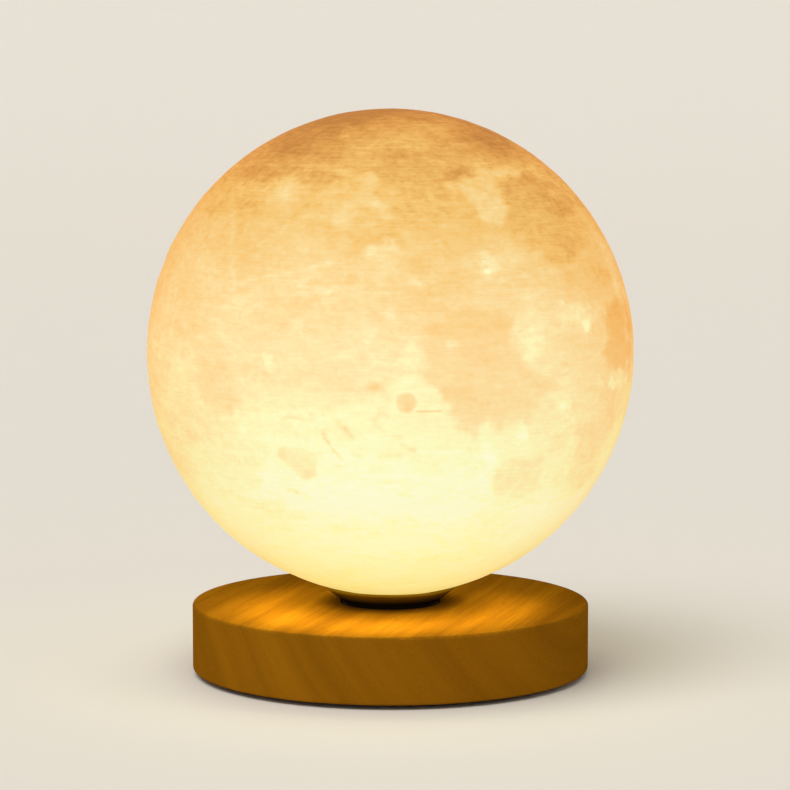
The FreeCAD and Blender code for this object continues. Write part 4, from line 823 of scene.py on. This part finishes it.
def wood_material(name, shade, grain_turn=GRAIN_TURN, rift=35.0, cup_shadow_level=1.0, foot=None):
    """Oiled, straight-grained hardwood: soft bands across the grain, fine fibres and short pores.

    shade is a factor for each of red, green and blue; rift is the angle of the cut in degrees."""
    n = Nodes(name)
    # x across the grain, y along it, z up.
    grain = n.stretched((1, 1, 1), turn=(0, 0, math.pi / 2 - grain_turn), shift=(CUT_FROM, 0, 0))

    def grainy(scale, detail, rough):
        return n.noise(1.0, detail, rough, source=n.stretched(scale, source=grain))

    flow = n.swing(grainy((9, 4.0, 9), 2.0, 0.5))
    ripple = n.swing(grainy((70, 11, 70), 2.0, 0.5))
    x, y, z = n.parts(grain)
    tilt = math.radians(rift)
    depth = n.math("MULTIPLY_ADD", z, math.sin(tilt), n.math("MULTIPLY", x, math.cos(tilt)))
    depth = n.math("MULTIPLY_ADD", flow, 3.4 * MM, depth)
    depth = n.math("MULTIPLY_ADD", ripple, 0.4 * MM, depth)
    layers = n.add("CombineXYZ", {"X": depth, "Y": n.math("MULTIPLY", y, 0.03)}).outputs[0]
    broad = n.swing(n.noise(1 / (2.6 * BAND), 2.0, 0.5, source=layers))
    bands = n.swing(n.noise(1 / BAND, 3.0, 0.55, source=layers))
    late = n.spread(n.noise(1 / (0.26 * BAND), 3.0, 0.6, source=layers), 0.52, 0.74)
    fibre = n.swing(grainy((1300, 26, 1300), 4.0, 0.65))
    fine = n.swing(grainy((3800, 110, 3800), 3.0, 0.6))
    pores = n.spread(grainy((2600, 150, 2600), 1.0, 0.5), 0.66, 0.74)
    figure = n.math("MULTIPLY", broad, 0.13)
    for part, strength in ((bands, 0.09), (late, -0.09), (fibre, 0.045)):
        figure = n.math("MULTIPLY_ADD", part, strength, figure)
    # The figure is plain on the flat faces and faint on the turned side.
    upright = n.math("ABSOLUTE", n.parts(n.add("NewGeometry").outputs["True Normal"])["Z"])
    tone = n.math("MULTIPLY_ADD", figure, n.spread(upright, 0.1, 0.9, 0.42, 1.0), WOOD_TONE)
    tone = n.math("MULTIPLY_ADD", fine, 0.04, tone)
    tone = n.math("MULTIPLY_ADD", pores, -0.12, tone)
    shaded = [(place, rgb(*(c * part for c, part in zip(shown, shade)))) for place, shown in WOOD_COLOURS]
    colour = n.ramp(tone, shaded)
    out, back, height = n.parts(n.here)
    # Painted shadow round the cup: the wood's colour is darkened near the lamp's axis.
    ring = n.spread(n.from_axis(out, back), SHADOW_RING_INNER, SHADOW_RING_OUTER, cup_shadow_level, 1.0)
    ring = n.add("CombineColor", {"Red": ring, "Green": ring, "Blue": ring}).outputs[0]
    colour = n.mix(1.0, colour, ring, "MULTIPLY")
    # Painted shade under the cup's flare: black near its foot, fading out upwards.
    if foot is not None:
        foot_shadow = n.spread(height, foot + SHADOW_FULL_TO, foot + SHADOW_GONE_FROM, 0.97, 0.0)
        colour = n.mix(foot_shadow, colour, FOOT_SHADOW_COLOUR)
    n.set(Base_Color=colour)
    n.set(Roughness=n.spread(fibre, -1, 1, 0.50, 0.66), Specular_IOR_Level=0.0)
    surface = n.math("MULTIPLY_ADD", pores, -1.2, n.math("MULTIPLY", fibre, 0.35))
    n.set(Normal=n.bump(surface, 0.22, 0.05 * MM))
    return n.material


def plastic_material(name, colour, rough, clear=0.0):
    """Moulded plastic with a fine spark-eroded texture."""
    n = Nodes(name)
    speck = n.noise(2600.0, 3.0, 0.6)
    cloudy = n.noise(60.0, 3.0, 0.5)
    dark = tuple(c * 0.90 for c in colour)
    light = tuple(min(1.0, c * 1.06) for c in colour)
    n.set(Base_Color=n.mix(n.varied(cloudy), (*dark, 1), (*light, 1)))
    n.set(Roughness=n.varied(speck, rough - 0.06, rough + 0.06), Coat_Weight=clear)
    n.set(Normal=n.bump(speck, 0.18, 0.02 * MM))
    return n.material


MARKS_PER_METRE = 6000


def metal_material(name, colour, rough, turned=True):
    """Machined metal with turning marks about the lamp's axis, or a rolled grain."""
    n = Nodes(name)
    x, y, z = n.parts(n.here)
    if turned:
        place = n.add("CombineXYZ", {"X": n.math("MULTIPLY", n.from_axis(x, y), MARKS_PER_METRE),
                                     "Y": n.math("MULTIPLY", z, MARKS_PER_METRE)}).outputs[0]
    else:
        place = n.stretched((300, MARKS_PER_METRE, 300))
    marks = n.noise(1.0, 2.0, 0.6, source=place)
    smudge = n.noise(120.0, 4.0, 0.6)
    dark = tuple(c * 0.86 for c in colour)
    n.set(Base_Color=n.mix(n.varied(smudge), (*dark, 1), (*colour, 1)), Metallic=1.0)
    n.set(Roughness=n.math("ADD", n.varied(marks, rough - 0.06, rough + 0.08),
                           n.varied(smudge, 0.0, 0.06)))
    n.set(Normal=n.bump(marks, 0.12, 0.01 * MM))
    return n.material


def board_material(name, colour, trace):
    """Circuit board: solder mask with faint tracks under it."""
    n = Nodes(name)
    cells = n.add("TexBrick", {"Vector": n.stretched((160, 160, 160)), "Color1": (*colour, 1),
                               "Color2": (*colour, 1), "Mortar": (*trace, 1), "Scale": 1.0,
                               "Mortar Size": 0.03}, offset=0.37)
    mottled = n.noise(400.0, 3.0, 0.5)
    n.set(Base_Color=n.mix(n.spread(mottled, 0.35, 0.65, 0.0, 0.25), cells.outputs["Color"],
                           (*tuple(c * 0.6 for c in colour), 1)))
    n.set(Roughness=0.32, Coat_Weight=0.3)
    n.set(Normal=n.bump(cells.outputs["Fac"], 0.2, 0.02 * MM))
    return n.material


def glowing_material(name, colour, glow, strength, rough=0.45):
    """Frosted or phosphor plastic that glows when the lamp is on."""
    n = Nodes(name)
    speck = n.noise(900.0, 3.0, 0.6)
    tone = n.mix(n.varied(speck), (*tuple(c * 0.93 for c in colour), 1), (*colour, 1))
    n.set(Base_Color=tone, Emission_Color=(*glow, 1), Emission_Strength=strength)
    n.set(Roughness=n.varied(speck, rough - 0.05, rough + 0.05))
    n.set(Normal=n.bump(speck, 0.1, 0.02 * MM))
    return n.material


def rubber_material():
    """Matt black rubber with a fine grain."""
    n = Nodes("foot_rubber")
    speck = n.noise(1800.0, 4.0, 0.65)
    n.set(Base_Color=n.mix(n.varied(speck), (0.012, 0.012, 0.013, 1), (0.030, 0.029, 0.028, 1)))
    n.set(Roughness=n.varied(speck, 0.72, 0.88), Specular_IOR_Level=0.3)
    n.set(Normal=n.bump(speck, 0.35, 0.04 * MM))
    return n.material


def dress_frame():
    """Gives every CAD node that shows its finish."""
    steel = metal_material("bright_steel", (0.50, 0.50, 0.51), 0.30)
    plate = metal_material("rolled_steel", (0.46, 0.46, 0.47), 0.34, turned=False)
    finishes = {
        "wooden_base": wood_material("base_wood", (0.88, 0.88, 0.88), cup_shadow_level=0.42),
        "turntable_cup": wood_material("cup_wood", (0.80, 0.93, 1.0), math.radians(25), 20.0,
                                       foot=CUP_FOOT),
        "rubber_feet": rubber_material(),
        "bottom_cover": plastic_material("black_plastic", rgb(42, 41, 40), 0.52),
        "rear_panel": plastic_material("panel_plastic", rgb(36, 35, 34), 0.46),
        "globe_collar": plastic_material("white_plastic", rgb(226, 222, 212), 0.42),
        "power_button": plastic_material("button_plastic", rgb(205, 202, 196), 0.34, clear=0.2),
        "wire_connectors": plastic_material("connector_plastic", rgb(232, 226, 205), 0.4),
        "socket_tongue": plastic_material("tongue_plastic", rgb(24, 24, 25), 0.4),
        "switch_body": plastic_material("switch_plastic", rgb(30, 30, 32), 0.4),
        "controller_chip": plastic_material("chip_resin", rgb(28, 28, 30), 0.38),
        "ring_gear": plastic_material("gear_plastic", rgb(222, 216, 200), 0.36),
        "lamp_leads": plastic_material("lead_cover", rgb(150, 28, 22), 0.38),
        "motor_lead": plastic_material("motor_lead_cover", rgb(40, 40, 44), 0.4),
        "socket_shell": plate,
        "motor_can": plate,
        "motor_plate": plate,
        "heat_sink": metal_material("turned_aluminium", (0.72, 0.73, 0.74), 0.33),
        "lamp_post": metal_material("post_aluminium", (0.70, 0.71, 0.72), 0.30),
        # Black anodised hub, made near black as painted shade, so that the gap under the cup shows dark.
        "turntable_hub": metal_material("hub_aluminium", (0.012, 0.011, 0.010), 0.42),
        "upper_ball_cage": metal_material("cage_brass", (0.72, 0.52, 0.24), 0.32),
        "motor_bush": metal_material("bush_brass", (0.70, 0.50, 0.24), 0.30),
        "capacitors": metal_material("capacitor_can", (0.62, 0.63, 0.66), 0.28),
        "control_board": board_material("green_board", rgb(22, 78, 44), rgb(60, 120, 70)),
        "light_board": board_material("white_board", rgb(228, 228, 222), rgb(190, 190, 182)),
        "light_chips": glowing_material("light_phosphor", rgb(250, 214, 110), rgb(255, 236, 170), 1.2, 0.3),
        "light_diffuser": glowing_material("frosted_dome", rgb(244, 238, 222), rgb(255, 232, 176), 0.55),
    }
    finishes["lower_ball_cage"] = finishes["upper_ball_cage"]
    finishes["pinion"] = finishes["ring_gear"]
    for name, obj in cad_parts.items():
        material = finishes.get(name, steel)
        for place in obj.material_slots:
            place.material = material
        if not obj.material_slots:
            obj.data.materials.append(material)


# ---------------------------------------------------------------- floor, backdrop and light
# Half the floor's width, also its reach to the front; where it curves up, and the wall's top.
FLOOR_HALF = 14.0
FLOOR_BACK = 2.2
CURVE_R = 2.2
CURVE_STEPS = 24
WALL_TOP = 6.0
FLOOR_COLOUR = (222, 217, 208)


def make_stage():
    """A pale floor that curves up into a plain backdrop."""
    profile = [(-FLOOR_HALF, 0.0)]
    for i in range(CURVE_STEPS + 1):
        a = i * math.pi / 2 / CURVE_STEPS
        profile.append((FLOOR_BACK + CURVE_R * math.sin(a), CURVE_R * (1 - math.cos(a))))
    profile.append((FLOOR_BACK + CURVE_R, WALL_TOP))
    points = [(side * FLOOR_HALF, y, z) for y, z in profile for side in (-1, 1)]
    faces = [(2 * i, 2 * i + 1, 2 * i + 3, 2 * i + 2) for i in range(len(profile) - 1)]
    mesh = bpy.data.meshes.new("studio_floor")
    mesh.from_pydata(points, [], faces)
    mesh.polygons.foreach_set("use_smooth", [True] * len(mesh.polygons))
    obj = bpy.data.objects.new("studio_floor", mesh)
    bpy.context.collection.objects.link(obj)
    n = Nodes("studio_floor")
    n.set(Base_Color=(*rgb(*FLOOR_COLOUR), 1), Roughness=0.7, Specular_IOR_Level=0.2)
    obj.data.materials.append(n.material)


# The studio: a pale world, and one large soft lamp from the upper left in front.
WORLD_LIGHT = 0.62
WORLD_COLOUR = (1.0, 0.985, 0.96)
KEY_STRENGTH = 1.5
KEY_ANGLE = math.radians(40)
KEY_FROM = (-0.42, -0.52, 1.25)
# Beyond the floor and the backdrop, the world shows the colour that they are seen in.
BACKDROP = (229, 223, 211)
# The globe's own light on the wood: a disc lamp, cut out in the middle by the globe that hangs through it,
# and a little to the front and left, where the globe is brightest.
GLOW_DISC = 88.0 * MM
GLOW_UP = 11.0 * MM
GLOW_FORWARD = 13.0 * MM
GLOW_LEFT = 2.0 * MM
GLOW_WATTS = 0.080
GLOW_COLOUR = (1.0, 0.86, 0.52)


def add_lamp(name, kind, location=(0, 0, 0), **settings):
    """A lamp with settings named as in Blender."""
    data = bpy.data.lights.new(name, kind)
    for key, value in settings.items():
        setattr(data, key, value)
    lamp = bpy.data.objects.new(name, data)
    bpy.context.collection.objects.link(lamp)
    lamp.location = location
    return lamp


def make_light():
    """The world, the studio's lamp and the globe's light on the wood."""
    world = bpy.data.worlds.new("studio")
    bpy.context.scene.world = world
    world.use_nodes = True
    tree = world.node_tree
    # The backdrop's colour for the camera, reflections and glass; the world's light for everything else.
    path = tree.nodes.new("ShaderNodeLightPath")
    either = path.outputs["Is Camera Ray"]
    for name in ("Is Glossy Ray", "Is Transmission Ray"):
        most = tree.nodes.new("ShaderNodeMath")
        most.operation = "MAXIMUM"
        tree.links.new(either, most.inputs[0])
        tree.links.new(path.outputs[name], most.inputs[1])
        either = most.outputs[0]
    choice = tree.nodes.new("ShaderNodeMix")
    choice.data_type = "RGBA"
    tree.links.new(either, choice.inputs["Factor"])
    choice.inputs[6].default_value = (*(WORLD_LIGHT * c for c in WORLD_COLOUR), 1)
    choice.inputs[7].default_value = (*rgb(*BACKDROP), 1)
    tree.links.new(choice.outputs[2], tree.nodes["Background"].inputs["Color"])

    key = add_lamp("soft_key", "SUN", energy=KEY_STRENGTH, angle=KEY_ANGLE)
    key.rotation_euler = (-Vector(KEY_FROM)).to_track_quat("-Z", "Y").to_euler()
    glow = add_lamp("globe_glow", "AREA", (-GLOW_LEFT, -GLOW_FORWARD, WOOD_TOP + GLOW_UP),
                    shape="DISK", size=GLOW_DISC, energy=GLOW_WATTS, color=GLOW_COLOUR)
    glow.visible_camera = False
    glow.visible_glossy = False
    bpy.context.scene.view_settings.view_transform = "Standard"


make_camera()
make_stage()
make_light()
dress_frame()
make_globe()
